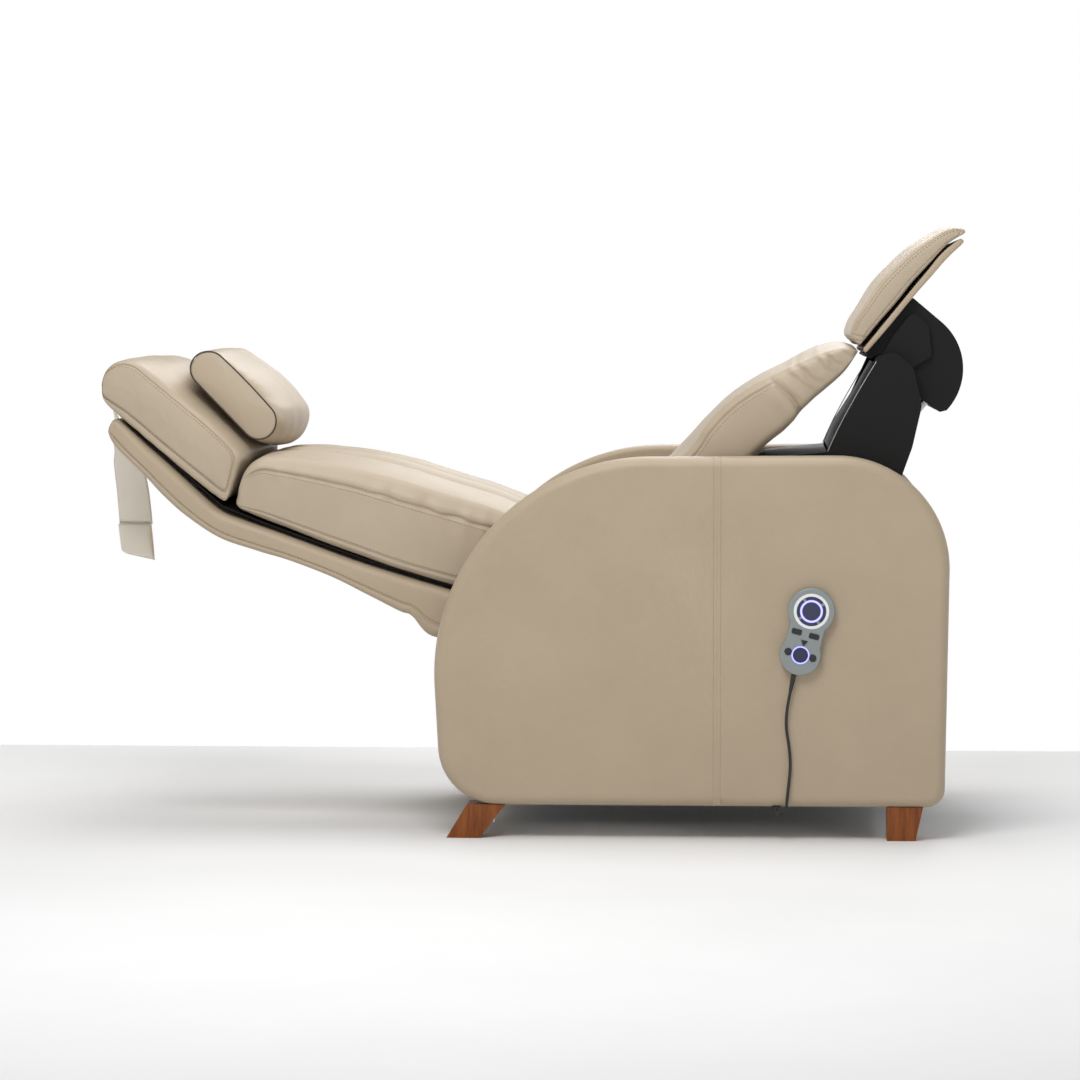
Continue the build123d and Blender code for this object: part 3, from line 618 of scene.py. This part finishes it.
# ---- Lower back pad ----------------------------------------------------------------------
def make_lower_pad():
    length, height, edge = 0.640, 0.140, 0.020
    channels = (-0.45, -0.10, 0.30)
    top_seam, low_seam = height - 0.026, 0.017

    def relief(p, out):
        side = np.abs(out[:, 1])
        top = np.clip(out[:, 2], 0, 1)
        middle = hill(p[:, 0] / length, 8)
        gusset = 0.006 * side * hill(p[:, 0] / length, 4) * hill(p[:, 2] / height, 2)
        far = p[:, 2] - top_seam - 0.004 * smooth_noise(p * (1, 0, 0), 30.0, 5.0)
        fade = np.clip((p[:, 0] - 0.03) / 0.02, 0, 1)
        seam = -0.0042 * side * gauss(far, 0.0030) * fade
        lower = -0.0024 * side * gauss(p[:, 2] - low_seam, 0.0022)
        pull = 0.0030 * smooth_noise(p * (1, 0.2, 0.35), 42.0, 1.0) * gauss(far, 0.030)
        quilt = 0.0
        for place in channels:
            gap = p[:, 1] - place * PAD_HALF
            quilt = quilt - 0.009 * gauss(gap, 0.024) - 0.004 * gauss(gap, 0.004)
        quilt = quilt * top * middle
        return gusset + seam + lower + pull * (0.3 + side) + quilt + 0.0014 * smooth_noise(p, 14.0, 4.0)

    pad = Pad(
        bottom=[(-.536, .590), (-.530, .579), (-.505, .567), (-.479, .556), (-.409, .530),
                (-.303, .492), (-.197, .458), (-.160, .447), (-.060, .419), (.030, .396),
                (.056, .390), (.064, .400)],
        sole=[(-.538, .584), (-.530, .576), (-.500, .563), (-.442, .539), (-.365, .509),
              (-.240, .463), (-.153, .439), (-.060, .413), (.030, .390), (.056, .384), (.064, .396)],
        crown=[(-.514, .642), (-.504, .664), (-.480, .678), (-.423, .682), (-.360, .677),
               (-.295, .668), (-.222, .651), (-.167, .633), (-.094, .611), (-.035, .589),
               (.040, .566), (.094, .549), (.099, .538)],
        seam=[(-.531, .612), (-.520, .644), (-.497, .664), (-.466, .665), (-.401, .656),
              (-.321, .641), (-.260, .625), (-.197, .607), (-.110, .581), (-.071, .570),
              (.000, .548), (.066, .529), (.090, .519)],
        half=PAD_HALF, length=length, height=height, edge=edge, flat=3.4, relief=relief)
    xs = graded(0, length, 0.006)
    fine = [(place * PAD_HALF, 0.016, 0.003) for place in channels]
    ys = graded_across(PAD_HALF, 0.008, 0.022, 0.003, fine)
    zs = graded(0, height, 0.006, [(top_seam, 0.012, 0.0016), (low_seam, 0.006, 0.0014)])
    piece = pad.build("lower_pad_cover", PAD_LEATHER, xs, ys, zs)
    finish_pad(piece, "back", "back_pad_lower")
    run = np.linspace(0.045, length - 0.02, 120)
    rows = side_rows(pad, run, PAD_HALF, top_seam - 0.0062, low_seam + 0.0042)
    ride_all([stitches("lower_pad_stitching", rows)], "back")


# ---- Back shell --------------------------------------------------------------------------
def make_shell():
    length, height, edge = 0.930, 0.052, 0.010
    low_seam = 0.013

    def relief(p, out):
        side = np.abs(out[:, 1])
        seam = -0.0022 * side * gauss(p[:, 2] - low_seam, 0.0022)
        end = -0.0022 * gauss(p[:, 0] - 0.016, 0.0020) * np.clip(p[:, 2] / height, 0, 1)
        return seam + end + 0.0010 * smooth_noise(p, 12.0, 6.0)

    top = [(-.761, .724), (-.746, .737), (-.690, .690), (-.637, .643), (-.566, .580),
           (-.520, .560), (-.479, .545), (-.401, .517), (-.303, .482), (-.200, .451),
           (-.100, .421), (.000, .392), (.060, .374)]
    rim = [(-.763, .724), (-.748, .733), (-.697, .683), (-.645, .636), (-.575, .573),
           (-.529, .552), (-.482, .536), (-.404, .508), (-.306, .473), (-.203, .442),
           (-.103, .412), (-.003, .384), (.060, .370)]
    shell = Pad(
        bottom=[(-.765, .714), (-.757, .696), (-.738, .673), (-.697, .634), (-.665, .600),
                (-.625, .564), (-.563, .524), (-.499, .502), (-.441, .485), (-.362, .455),
                (-.300, .424), (-.240, .394), (-.219, .386), (-.185, .350), (-.120, .340),
                (-.020, .328), (.048, .322)],
        crown=top, seam=rim, half=SHELL_HALF, length=length, height=height, edge=edge, flat=12.0,
        relief=relief)
    xs = graded(0, length, 0.007, [(0.016, 0.006, 0.0014)])
    ys = graded_across(SHELL_HALF, 0.02, 0.03, 0.0025)
    zs = graded(0, height, 0.005, [(low_seam, 0.006, 0.0014)])
    piece = shell.build("back_shell_cover", LEATHER, xs, ys, zs)
    finish_pad(piece, "back", "back_shell")
    run = np.linspace(0.02, length - 0.02, 150)
    rows = side_rows(shell, run, SHELL_HALF, low_seam + 0.0042)
    ride_all([stitches("back_shell_stitching", rows)], "back")


# ---- Seat cushion ------------------------------------------------------------------------
def make_seat_cushion():
    length, height, edge = 0.590, 0.100, 0.014
    crease, top_seam = 0.430, height - 0.014

    def relief(p, out):
        side = np.abs(out[:, 1])
        x, z = p[:, 0], p[:, 2] / height
        behind = 1 / (1 + np.exp((x - crease + 0.012) / 0.004))
        gusset = 0.007 * side * hill(x / length, 4) * hill(z, 2)
        seam = -0.0034 * side * gauss(p[:, 2] - top_seam, 0.0030) * behind
        bend = crease + 0.010 * (0.5 - z) + 0.004 * np.sin(5 * z)
        cross = -0.0075 * side * gauss(x - bend, 0.0042) * (0.25 + 0.75 * (1 - z))
        puff = 0.0055 * side * (gauss(x - bend - 0.020, 0.014) + gauss(x - bend + 0.018, 0.014))
        past = np.clip((x - crease) / 0.03, 0, 1) * np.clip((length - x) / 0.03, 0, 1)
        slant = x + 0.030 * (z - 0.5) + 0.006 * smooth_noise(p, 30.0, 2.0)
        fan = np.sin(slant * 2 * math.pi / 0.026) + 0.6 * np.sin(slant * 2 * math.pi / 0.017 + 1)
        fan = fan * past * 0.0019 * (0.25 + side) * gauss(z - 0.72, 0.42)
        return gusset + seam + cross + puff * (1 - z) + fan + 0.0014 * smooth_noise(p, 16.0, 9.0)

    cushion = Pad(
        bottom=[(.182, .479), (.196, .479), (.300, .577), (.406, .687), (.449, .722),
                (.481, .760), (.514, .789), (.540, .812), (.556, .829), (.572, .853)],
        crown=[(.120, .542), (.150, .584), (.240, .668), (.308, .742), (.347, .779),
               (.399, .813), (.451, .839), (.502, .865), (.541, .874), (.566, .870), (.577, .861)],
        seam=[(.124, .520), (.170, .566), (.278, .683), (.304, .722), (.336, .758),
              (.374, .787), (.420, .812), (.480, .840), (.530, .860), (.560, .865), (.575, .859)],
        half=PAD_HALF, length=length, height=height, edge=edge, flat=3.0, relief=relief)
    xs = graded(0, length, 0.006, [(crease, 0.030, 0.002), (crease + 0.085, 0.060, 0.003)])
    ys = graded_across(PAD_HALF, 0.008, 0.016, 0.0025)
    zs = graded(0, height, 0.005, [(top_seam, 0.007, 0.0014)])
    piece = cushion.build("seat_cushion_cover", PAD_LEATHER, xs, ys, zs)
    finish_pad(piece, "seat", "seat_cushion")
    run = np.linspace(0.02, crease - 0.016, 90)
    rows = side_rows(cushion, run, PAD_HALF, top_seam - 0.0048)
    ride_all([stitches("seat_cushion_stitching", rows)], "seat")


# ---- Leg pad and ottoman board -----------------------------------------------------------
def make_leg_pad():
    length, height, edge = 0.320, 0.044, 0.0075
    low, high, turn = (0.010, 0.006), (length - 0.010, height - 0.007), 0.006

    def relief(p, out):
        side = np.abs(out[:, 1])
        gap = loop_gap(p[:, 0], p[:, 2], low, high, turn)
        gusset = 0.0035 * side * hill(p[:, 0] / length, 4) * hill(p[:, 2] / height, 2)
        second = gauss(p[:, 0] - 0.022, 0.0018)
        return gusset - 0.0022 * side * (gauss(gap, 0.0018) + second) + 0.0012 * smooth_noise(p, 18.0, 7.0)

    pad = Pad(
        bottom=[(.578, .869), (.592, .8865), (.617, .916), (.648, .953), (.673, .984),
                (.705, 1.019), (.731, 1.047), (.750, 1.0605), (.757, 1.0635)],
        crown=[(.573, .872), (.558, .888), (.563, .911), (.577, .935), (.607, .984),
               (.641, 1.020), (.671, 1.047), (.706, 1.069), (.730, 1.082), (.748, 1.083),
               (.763, 1.077), (.766, 1.070)],
        seam=[(.574, .872), (.562, .889), (.568, .911), (.583, .935), (.614, .980),
              (.647, 1.014), (.677, 1.040), (.710, 1.062), (.732, 1.074), (.748, 1.076),
              (.760, 1.074), (.764, 1.069)],
        half=PAD_HALF, length=length, height=height, edge=edge, flat=3.0, relief=relief)
    xs = graded(0, length, 0.005, [(0.010, 0.018, 0.0014), (length - 0.010, 0.010, 0.0016)])
    ys = graded_across(PAD_HALF, 0.008, 0.012, 0.002)
    zs = graded(0, height, 0.0035, [(high[1], 0.006, 0.0013), (low[1], 0.005, 0.0013)])
    piece = pad.build("leg_pad_cover", PAD_LEATHER, xs, ys, zs)
    finish_pad(piece, "ottoman", "leg_pad")
    run = np.linspace(0.030, length - 0.015, 60)
    rows = side_rows(pad, run, PAD_HALF, high[1] - 0.0035)
    ride_all([stitches("leg_pad_stitching", rows)], "ottoman")


def make_ottoman_board():
    """The thin padded board under the leg pad."""
    length, height = 0.26, 0.0105
    top = [(.583, .862), (.623, .911), (.666, .964), (.695, .999), (.724, 1.034), (.755, 1.059)]
    board = Pad(
        bottom=[(.589, .855), (.630, .903), (.673, .956), (.702, .989), (.731, 1.0225), (.762, 1.052)],
        crown=top, seam=top, half=PAD_HALF, length=length, height=height, edge=0.0035)
    ys = graded_across(PAD_HALF, 0.012, 0.006, 0.0015)
    piece = board.build("ottoman_board_cover", LEATHER, graded(0, length, 0.006), ys,
                        graded(0, height, 0.0021))
    finish_pad(piece, "ottoman", "ottoman_board")


# ---- Side panels -------------------------------------------------------------------------
def rounded_outline(corners, radii, step=0.006):
    """Evenly spaced X, Z points round a polygon with an arc at each corner."""
    corners = [np.array(c, float) for c in corners]
    count = len(corners)
    run = []
    for i in range(count):
        here, before, after = corners[i], corners[i - 1], corners[(i + 1) % count]
        back = (before - here) / np.linalg.norm(before - here)
        ahead = (after - here) / np.linalg.norm(after - here)
        half = math.acos(float(np.clip(back @ ahead, -1, 1))) / 2
        reach = radii[i] / math.tan(half)
        middle = here + (back + ahead) / np.linalg.norm(back + ahead) * radii[i] / math.sin(half)
        start = here + back * reach - middle
        end = here + ahead * reach - middle
        first = math.atan2(start[1], start[0])
        swing = (math.atan2(end[1], end[0]) - first + math.pi) % (2 * math.pi) - math.pi
        turns = first + swing * np.linspace(0, 1, 40)
        run += [middle + radii[i] * np.array([math.cos(t), math.sin(t)]) for t in turns]
    return along_path(run + [run[0]],
                      lambda total: np.linspace(0, total, int(total / step), endpoint=False))


def inset(loop, distance):
    """The same loop moved inwards by a distance."""
    heading = np.roll(loop, -1, 0) - np.roll(loop, 1, 0)
    heading /= np.linalg.norm(heading, axis=1)[:, None]
    inward = np.column_stack([heading[:, 1], -heading[:, 0]])
    return loop + inward * distance


# The corners and radii of the CAD panels' outline.
PANEL_CORNERS = [(-0.192, 0.670), (0.737, PANEL_TOP), (0.727, PANEL_BOTTOM), (-0.158, PANEL_BOTTOM)]
PANEL_RADII = [0.382, 0.196, 0.032, 0.104]
PANEL_MIDDLE = np.array([0.30, 0.37])
PANEL_THICK = PANEL_OUTER - PANEL_INNER
PANEL_OUTER_ROUND = 0.018        # how far the leather rolls over the outer edge
PANEL_INNER_ROUND = 0.008
SEAM_X = 0.328
# Half-round ridges on both sides of the seam's groove: (along X, outwards).
SEAM_SECTION = [(-0.0062, -0.0006), (-0.0052, 0.0006), (-0.0030, 0.0010), (-0.0006, 0.0011),
                (0.0000, -0.0004), (0.0006, 0.0011), (0.0030, 0.0010), (0.0052, 0.0006),
                (0.0062, -0.0006)]


def panel_rings():
    """(inset from the outline, distance out from the inner face) of each ring of the skin."""
    thick, outer, inner = PANEL_THICK, PANEL_OUTER_ROUND, PANEL_INNER_ROUND
    rings = [(inner + 0.012, 0.0), (inner + 0.004, 0.0)]
    for turn in np.linspace(0, math.pi / 2, 7):
        rings.append((inner * (1 - math.sin(turn)), inner * (1 - math.cos(turn))))
    rings += [(0.0, y) for y in np.linspace(inner + 0.006, thick - outer - 0.004, 9)]
    for turn in np.linspace(0, math.pi / 2, 12):
        rings.append((outer * (1 - math.cos(turn)), thick - outer * (1 - math.sin(turn))))
    rings += [(outer + 0.004, thick), (outer + 0.010, thick)]
    return rings


def make_side_panel(side_name, side):
    """One arm: a padded skin with rounded edges and a stitched seam that runs over it."""
    loop = rounded_outline(PANEL_CORNERS, PANEL_RADII)
    count = len(loop)
    rings = panel_rings()
    verts = []

    def add_ring(xz, out):
        y = side * (PANEL_INNER + out)
        verts.extend([(x, y, z) for x, z in xz])

    first = inset(loop, rings[0][0])
    shares = np.linspace(0.02, 0.97, 40)
    for share in shares:
        add_ring(PANEL_MIDDLE + (first - PANEL_MIDDLE) * share, 0.0)
    for distance, out in rings:
        crown = 0.0012 * math.sin(math.pi * min(1, out / PANEL_THICK)) if distance == 0 else 0.0
        add_ring(inset(loop, distance - crown), out)
    last = inset(loop, rings[-1][0])
    for share in shares[::-1]:
        add_ring(PANEL_MIDDLE + (last - PANEL_MIDDLE) * share, PANEL_THICK)
    levels = len(verts) // count
    verts.append((PANEL_MIDDLE[0], side * PANEL_INNER, PANEL_MIDDLE[1]))
    verts.append((PANEL_MIDDLE[0], side * PANEL_OUTER, PANEL_MIDDLE[1]))
    faces = []
    for level in range(levels - 1):
        for i in range(count):
            n = (i + 1) % count
            a, b = level * count + i, level * count + n
            faces.append((a, b, b + count, a + count) if side > 0 else (b, a, a + count, b + count))
    top = (levels - 1) * count
    for i in range(count):
        n = (i + 1) % count
        faces.append((len(verts) - 2, n, i) if side > 0 else (len(verts) - 2, i, n))
        faces.append((len(verts) - 1, top + i, top + n) if side > 0
                     else (len(verts) - 1, top + n, top + i))
    piece = add_mesh(f"arm_cover_{side_name}", verts, faces, LEATHER)
    finish_pad(piece, "base", f"side_panel_{side_name}")

    def profile(x):
        """The panel's skin at a given X: up the outer face, over the top and down the inside."""
        mask = np.abs(loop[:, 0] - x) < 0.02
        top_z = loop[mask & (loop[:, 1] > 0.4), 1].max()
        outer = PANEL_OUTER_ROUND
        run = [(PANEL_OUTER, z) for z in np.linspace(PANEL_BOTTOM + 0.004, top_z - outer, 60)]
        run += [(PANEL_OUTER - outer * (1 - math.cos(t)), top_z - outer * (1 - math.sin(t)))
                for t in np.linspace(0.1, math.pi / 2, 8)]
        run += [(y, top_z + 0.0008) for y in np.linspace(PANEL_OUTER - outer - 0.01, PANEL_INNER + 0.01, 8)]
        run += [(PANEL_INNER, z) for z in np.linspace(top_z - 0.010, top_z - 0.20, 10)]
        return np.array([(x, side * y, z) for y, z in run])

    spine = profile(SEAM_X)
    outward = np.gradient(spine, axis=0)
    outward = np.cross(outward, (1, 0, 0)) * -side
    outward /= np.linalg.norm(outward, axis=1)[:, None]
    verts = [place + np.array([across, 0, 0]) + out * lift
             for place, out in zip(spine, outward) for across, lift in SEAM_SECTION]
    width = len(SEAM_SECTION)
    faces = [(i * width + j, i * width + j + 1, (i + 1) * width + j + 1, (i + 1) * width + j)
             for i in range(len(spine) - 1) for j in range(width - 1)]
    welt = add_mesh(f"arm_seam_{side_name}", verts, faces, LEATHER)
    rows = [spine + np.array([across, 0, 0]) + outward * 0.0013 for across in (-0.0036, 0.0036)]
    ride_all([welt, stitches(f"arm_stitching_{side_name}", rows)], "base")


# ---- Head pillow -------------------------------------------------------------------------
PILLOW_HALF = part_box("head_pillow")[1].y
PILLOW_HEAD = np.array((-0.592, 0.826))     # X, Z of the two round ends' middles at the side
PILLOW_HIP = np.array((-0.500, 0.731))
PILLOW_ROUND = 0.031


def pillow_section(grow, scale=1.0, bow=0.004):
    """The pillow's outline at one Y; grow swells it away from the pad and towards the hip."""
    straight = np.linalg.norm(PILLOW_HIP - PILLOW_HEAD)
    along = (PILLOW_HIP - PILLOW_HEAD) / straight
    out = np.array((-along[1], along[0]))
    turns = np.linspace(0, math.pi, 26)[:, None]
    steps = np.linspace(0, 1, 20)[1:-1, None]
    points = np.vstack([
        PILLOW_HEAD + PILLOW_ROUND * (-along * np.sin(turns) + out * np.cos(turns)),
        PILLOW_HEAD + along * straight * steps - out * PILLOW_ROUND,
        PILLOW_HIP + PILLOW_ROUND * (along * np.sin(turns) - out * np.cos(turns)),
        PILLOW_HIP - along * straight * steps + out * PILLOW_ROUND,
    ])
    centre = (PILLOW_HEAD + PILLOW_HIP) / 2
    far = points - centre
    a, o = far @ along, far @ out
    rise = np.clip(o / PILLOW_ROUND, 0, 1)
    end = np.clip(a / (straight / 2 + PILLOW_ROUND), -1, 1)
    lean = np.where(end < 0, 1 + 0.8 * end, 1 + 0.35 * end)
    o = o + bow * rise * (1 - end ** 2) + grow * 0.026 * rise * (1 - 0.55 * end ** 2) * lean
    a = a + grow * (0.024 * np.clip(end, 0, 1) + 0.004 * np.clip(end, -1, 0))
    return centre + (np.outer(a, along) + np.outer(o, out)) * scale


def pillow_cap(share, side):
    """A ring of the bulging end face, at a share of the section's size."""
    y = side * (PILLOW_HALF + 0.007 * (1 - share ** 2))
    return [(x, y, z) for x, z in pillow_section(0.0, share)]


def make_pillow():
    """A stuffed roll, fuller in its middle, gathered into piped ends."""
    half = PILLOW_HALF
    rim = np.array([0.0, 0.003, 0.007, 0.012])
    stations = np.concatenate([half - rim, np.linspace(half - 0.018, 0.018 - half, 110), rim[::-1] - half])
    count = len(pillow_section(0))
    caps = (0.05, 0.3, 0.55, 0.75, 0.88, 0.95)
    verts = []
    for share in caps:
        verts += pillow_cap(share, 1)
    for y in stations:
        rest = half - abs(y)
        grow = (1 - (abs(y) / half) ** 2.2) ** 0.62
        loop = pillow_section(grow, 1.0 - 0.008 * math.exp(-(rest / 0.008) ** 2))
        middle = loop.mean(0)
        way = (loop - middle) / np.linalg.norm(loop - middle, axis=1)[:, None]
        angle = np.arctan2(way[:, 1], way[:, 0])
        gather = np.sin(angle * 17 + 2.0 * np.sin(angle * 3)) * math.exp(-((rest - 0.014) / 0.018) ** 2)
        places = np.column_stack([loop[:, 0], np.full(count, y), loop[:, 1]])
        swell = 0.0016 * smooth_noise(places, 22.0, 3.0) + 0.0011 * gather
        loop = loop + way * swell[:, None]
        verts += [(x, y, z) for x, z in loop]
    for share in caps[::-1]:
        verts += pillow_cap(share, -1)
    piece = add_mesh("pillow_cover", verts, ring_skin(len(verts) // count, count), PAD_LEATHER)
    finish_pad(piece, "pillow", "head_pillow")
    for name, y in (("near", -half), ("far", half)):
        ring = [(x, y, z) for x, z in pillow_section(0.0, 1.004)]
        bead = tube_along(f"pillow_piping_{name}", ring, 0.0015, PIPING, 8, closed=True)
        ride_all([bead], "pillow")


# ---- Counterweight strap -----------------------------------------------------------------
STRAP_WIDTH, STRAP_THICKNESS = 0.064, 0.003
# X, Z and turn about Z in degrees of the strap's middle, as in its CAD strip.
STRAP_STATIONS = [(-0.799, 0.745, 10), (-0.790, 0.700, 26), (-0.773, 0.650, 62),
                  (-0.766, 0.600, 75), (-0.760, 0.535, 80)]


WEIGHT_TOP = (-0.7605, 0.5345)   # X, Z where the sewn-in weight begins


def strap_frame(turn):
    """Directions across the strap and out of its face at a turn in degrees."""
    turn = math.radians(turn)
    across = np.array([-math.sin(turn), math.cos(turn), 0])
    return across, np.array([math.cos(turn), math.sin(turn), 0])


def make_strap():
    """A leather strap that hangs behind the head end, turned on itself, with a sewn-in weight."""
    line = smooth_line(STRAP_STATIONS)
    stations = line(np.linspace(0, 1, 70))
    shares = np.linspace(-1, 1, 13)
    verts = []
    for k, (x, z, turn) in enumerate(stations):
        across, normal = strap_frame(turn)
        middle = np.array([x + 0.0012 * math.sin(k * 0.21), 0, z])
        curl = 0.0022 * shares ** 2
        for face in (1, -1):
            for s, c in zip(shares[::face], curl[::face]):
                verts.append(middle + across * s * STRAP_WIDTH / 2
                             + normal * (face * STRAP_THICKNESS / 2 + c))
    strap = add_mesh("strap_band", verts, ring_skin(len(stations), 2 * len(shares)), STRAP_LIGHTENED)
    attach(strap, "counterweight")
    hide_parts("counterweight_strap")

    levels, around = 22, 36
    across, normal = strap_frame(STRAP_STATIONS[-1][2])
    verts = []
    for i in range(levels):
        t = i / (levels - 1)
        fat = 0.0030 + 0.0065 * math.sin(math.pi * min(1.0, 0.06 + 0.94 * t)) ** 0.6 + 0.001 * t
        for j in range(around):
            turn = 2 * math.pi * j / around
            s, n = math.cos(turn), math.sin(turn)
            s = math.copysign(abs(s) ** 0.3, s)
            drop = 0.058 * t - 0.009 * t * s + 0.003 * math.sin(3 * s) * t
            verts.append(np.array([WEIGHT_TOP[0] + 0.006 * t, 0, WEIGHT_TOP[1] - drop])
                         + across * s * (STRAP_WIDTH / 2 + 0.0004) + normal * n * fat)
    weight = add_mesh("strap_weight_cover", verts, ring_skin(levels, around), STRAP_LIGHTENED)
    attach(weight, "counterweight")
    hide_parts("counterweight")
    seam_middle = np.array([WEIGHT_TOP[0], 0, WEIGHT_TOP[1] + 0.004])
    row = [seam_middle + across * s * STRAP_WIDTH / 2 - normal * STRAP_THICKNESS / 2
           for s in np.linspace(-0.94, 0.94, 20)]
    back_row = [place + normal * STRAP_THICKNESS for place in row]
    ride_all([stitches("strap_stitching", [row, back_row], 0.0042, 0.003)], "counterweight")


# ---- Painted highlight beads on the risers' front edges ----------------------------------
def make_riser_edge_highlights():
    """A pale bead along each black riser's front edge: a painted highlight that stands for light caught on
    the rounded edge.
    """
    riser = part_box("riser_cheeks")[1].y
    line = smooth_line([(0.6076, 0.842), (0.583, 0.801), (0.558, 0.757), (0.538, 0.718),
                        (0.521, 0.680)])
    run = line(np.linspace(0, 1, 40))
    for name, side in (("near", -1), ("far", 1)):
        path = [(x, side * (riser + 0.0003), z) for x, z in run]
        ride_all([tube_along(f"riser_highlight_bead_{name}", path, 0.0009, SLOT_MATERIALS["zinc_steel"], 6)],
                 "seat")


# ---- Floor and light ---------------------------------------------------------------------
FLOOR_SIZE, FLOOR_MIDDLE = 6, (0, -1.9, 0)
LIGHT_TARGET = Vector((0.0, 0.0, 0.5))
# Name, place, size in metres and power in watts of each lamp.
LIGHTS = [
    ("key", (-0.3, -2.3, 2.9), 1.5, 60),
    ("top", (0.2, 0.4, 4.4), 2.6, 82),
    ("back", (0.8, 3.4, 3.0), 2.2, 60),
]


def make_stage():
    bpy.ops.mesh.primitive_plane_add(size=FLOOR_SIZE, location=FLOOR_MIDDLE)
    floor = bpy.context.object
    floor.name = "floor"
    material, nodes, links, shader = new_material("floor_paper")
    texture, _ = noise_node(nodes, links, 3.0, 2.0)
    tone = ramp(nodes, links, texture.outputs["Fac"], (0.86, 0.86, 0.86), (0.88, 0.88, 0.88))
    links.new(tone.outputs["Color"], shader.inputs["Base Color"])
    shader.inputs["Roughness"].default_value = 0.9
    shader.inputs["Specular IOR Level"].default_value = 0.1
    floor.data.materials.append(material)
    make_world()
    for name, place, size, power in LIGHTS:
        data = bpy.data.lights.new(name, "AREA")
        data.size = size
        data.energy = power
        light = bpy.data.objects.new(name, data)
        light.location = place
        light.rotation_euler = (LIGHT_TARGET - light.location).to_track_quat("-Z", "Y").to_euler()
        bpy.context.scene.collection.objects.link(light)


def make_world():
    """A white studio: bright round the horizon, dimmer overhead so that the lamps shape things."""
    world = bpy.data.worlds.new("studio")
    world.use_nodes = True
    nodes, links = world.node_tree.nodes, world.node_tree.links
    place = nodes.new("ShaderNodeTexCoord")
    parts = nodes.new("ShaderNodeSeparateXYZ")
    links.new(place.outputs["Generated"], parts.inputs["Vector"])
    tone = ramp(nodes, links, parts.outputs["Z"], (1, 1, 1), (0.22, 0.22, 0.22), (0.13, 0.36))
    background = nodes["Background"]
    links.new(tone.outputs["Color"], background.inputs["Color"])
    background.inputs["Strength"].default_value = 1.0
    bpy.context.scene.world = world


make_stage()
make_upper_pad()
make_lower_pad()
make_shell()
make_seat_cushion()
make_leg_pad()
make_ottoman_board()
make_side_panel("near", -1)
make_side_panel("far", 1)
make_pillow()
make_strap()
make_riser_edge_highlights()
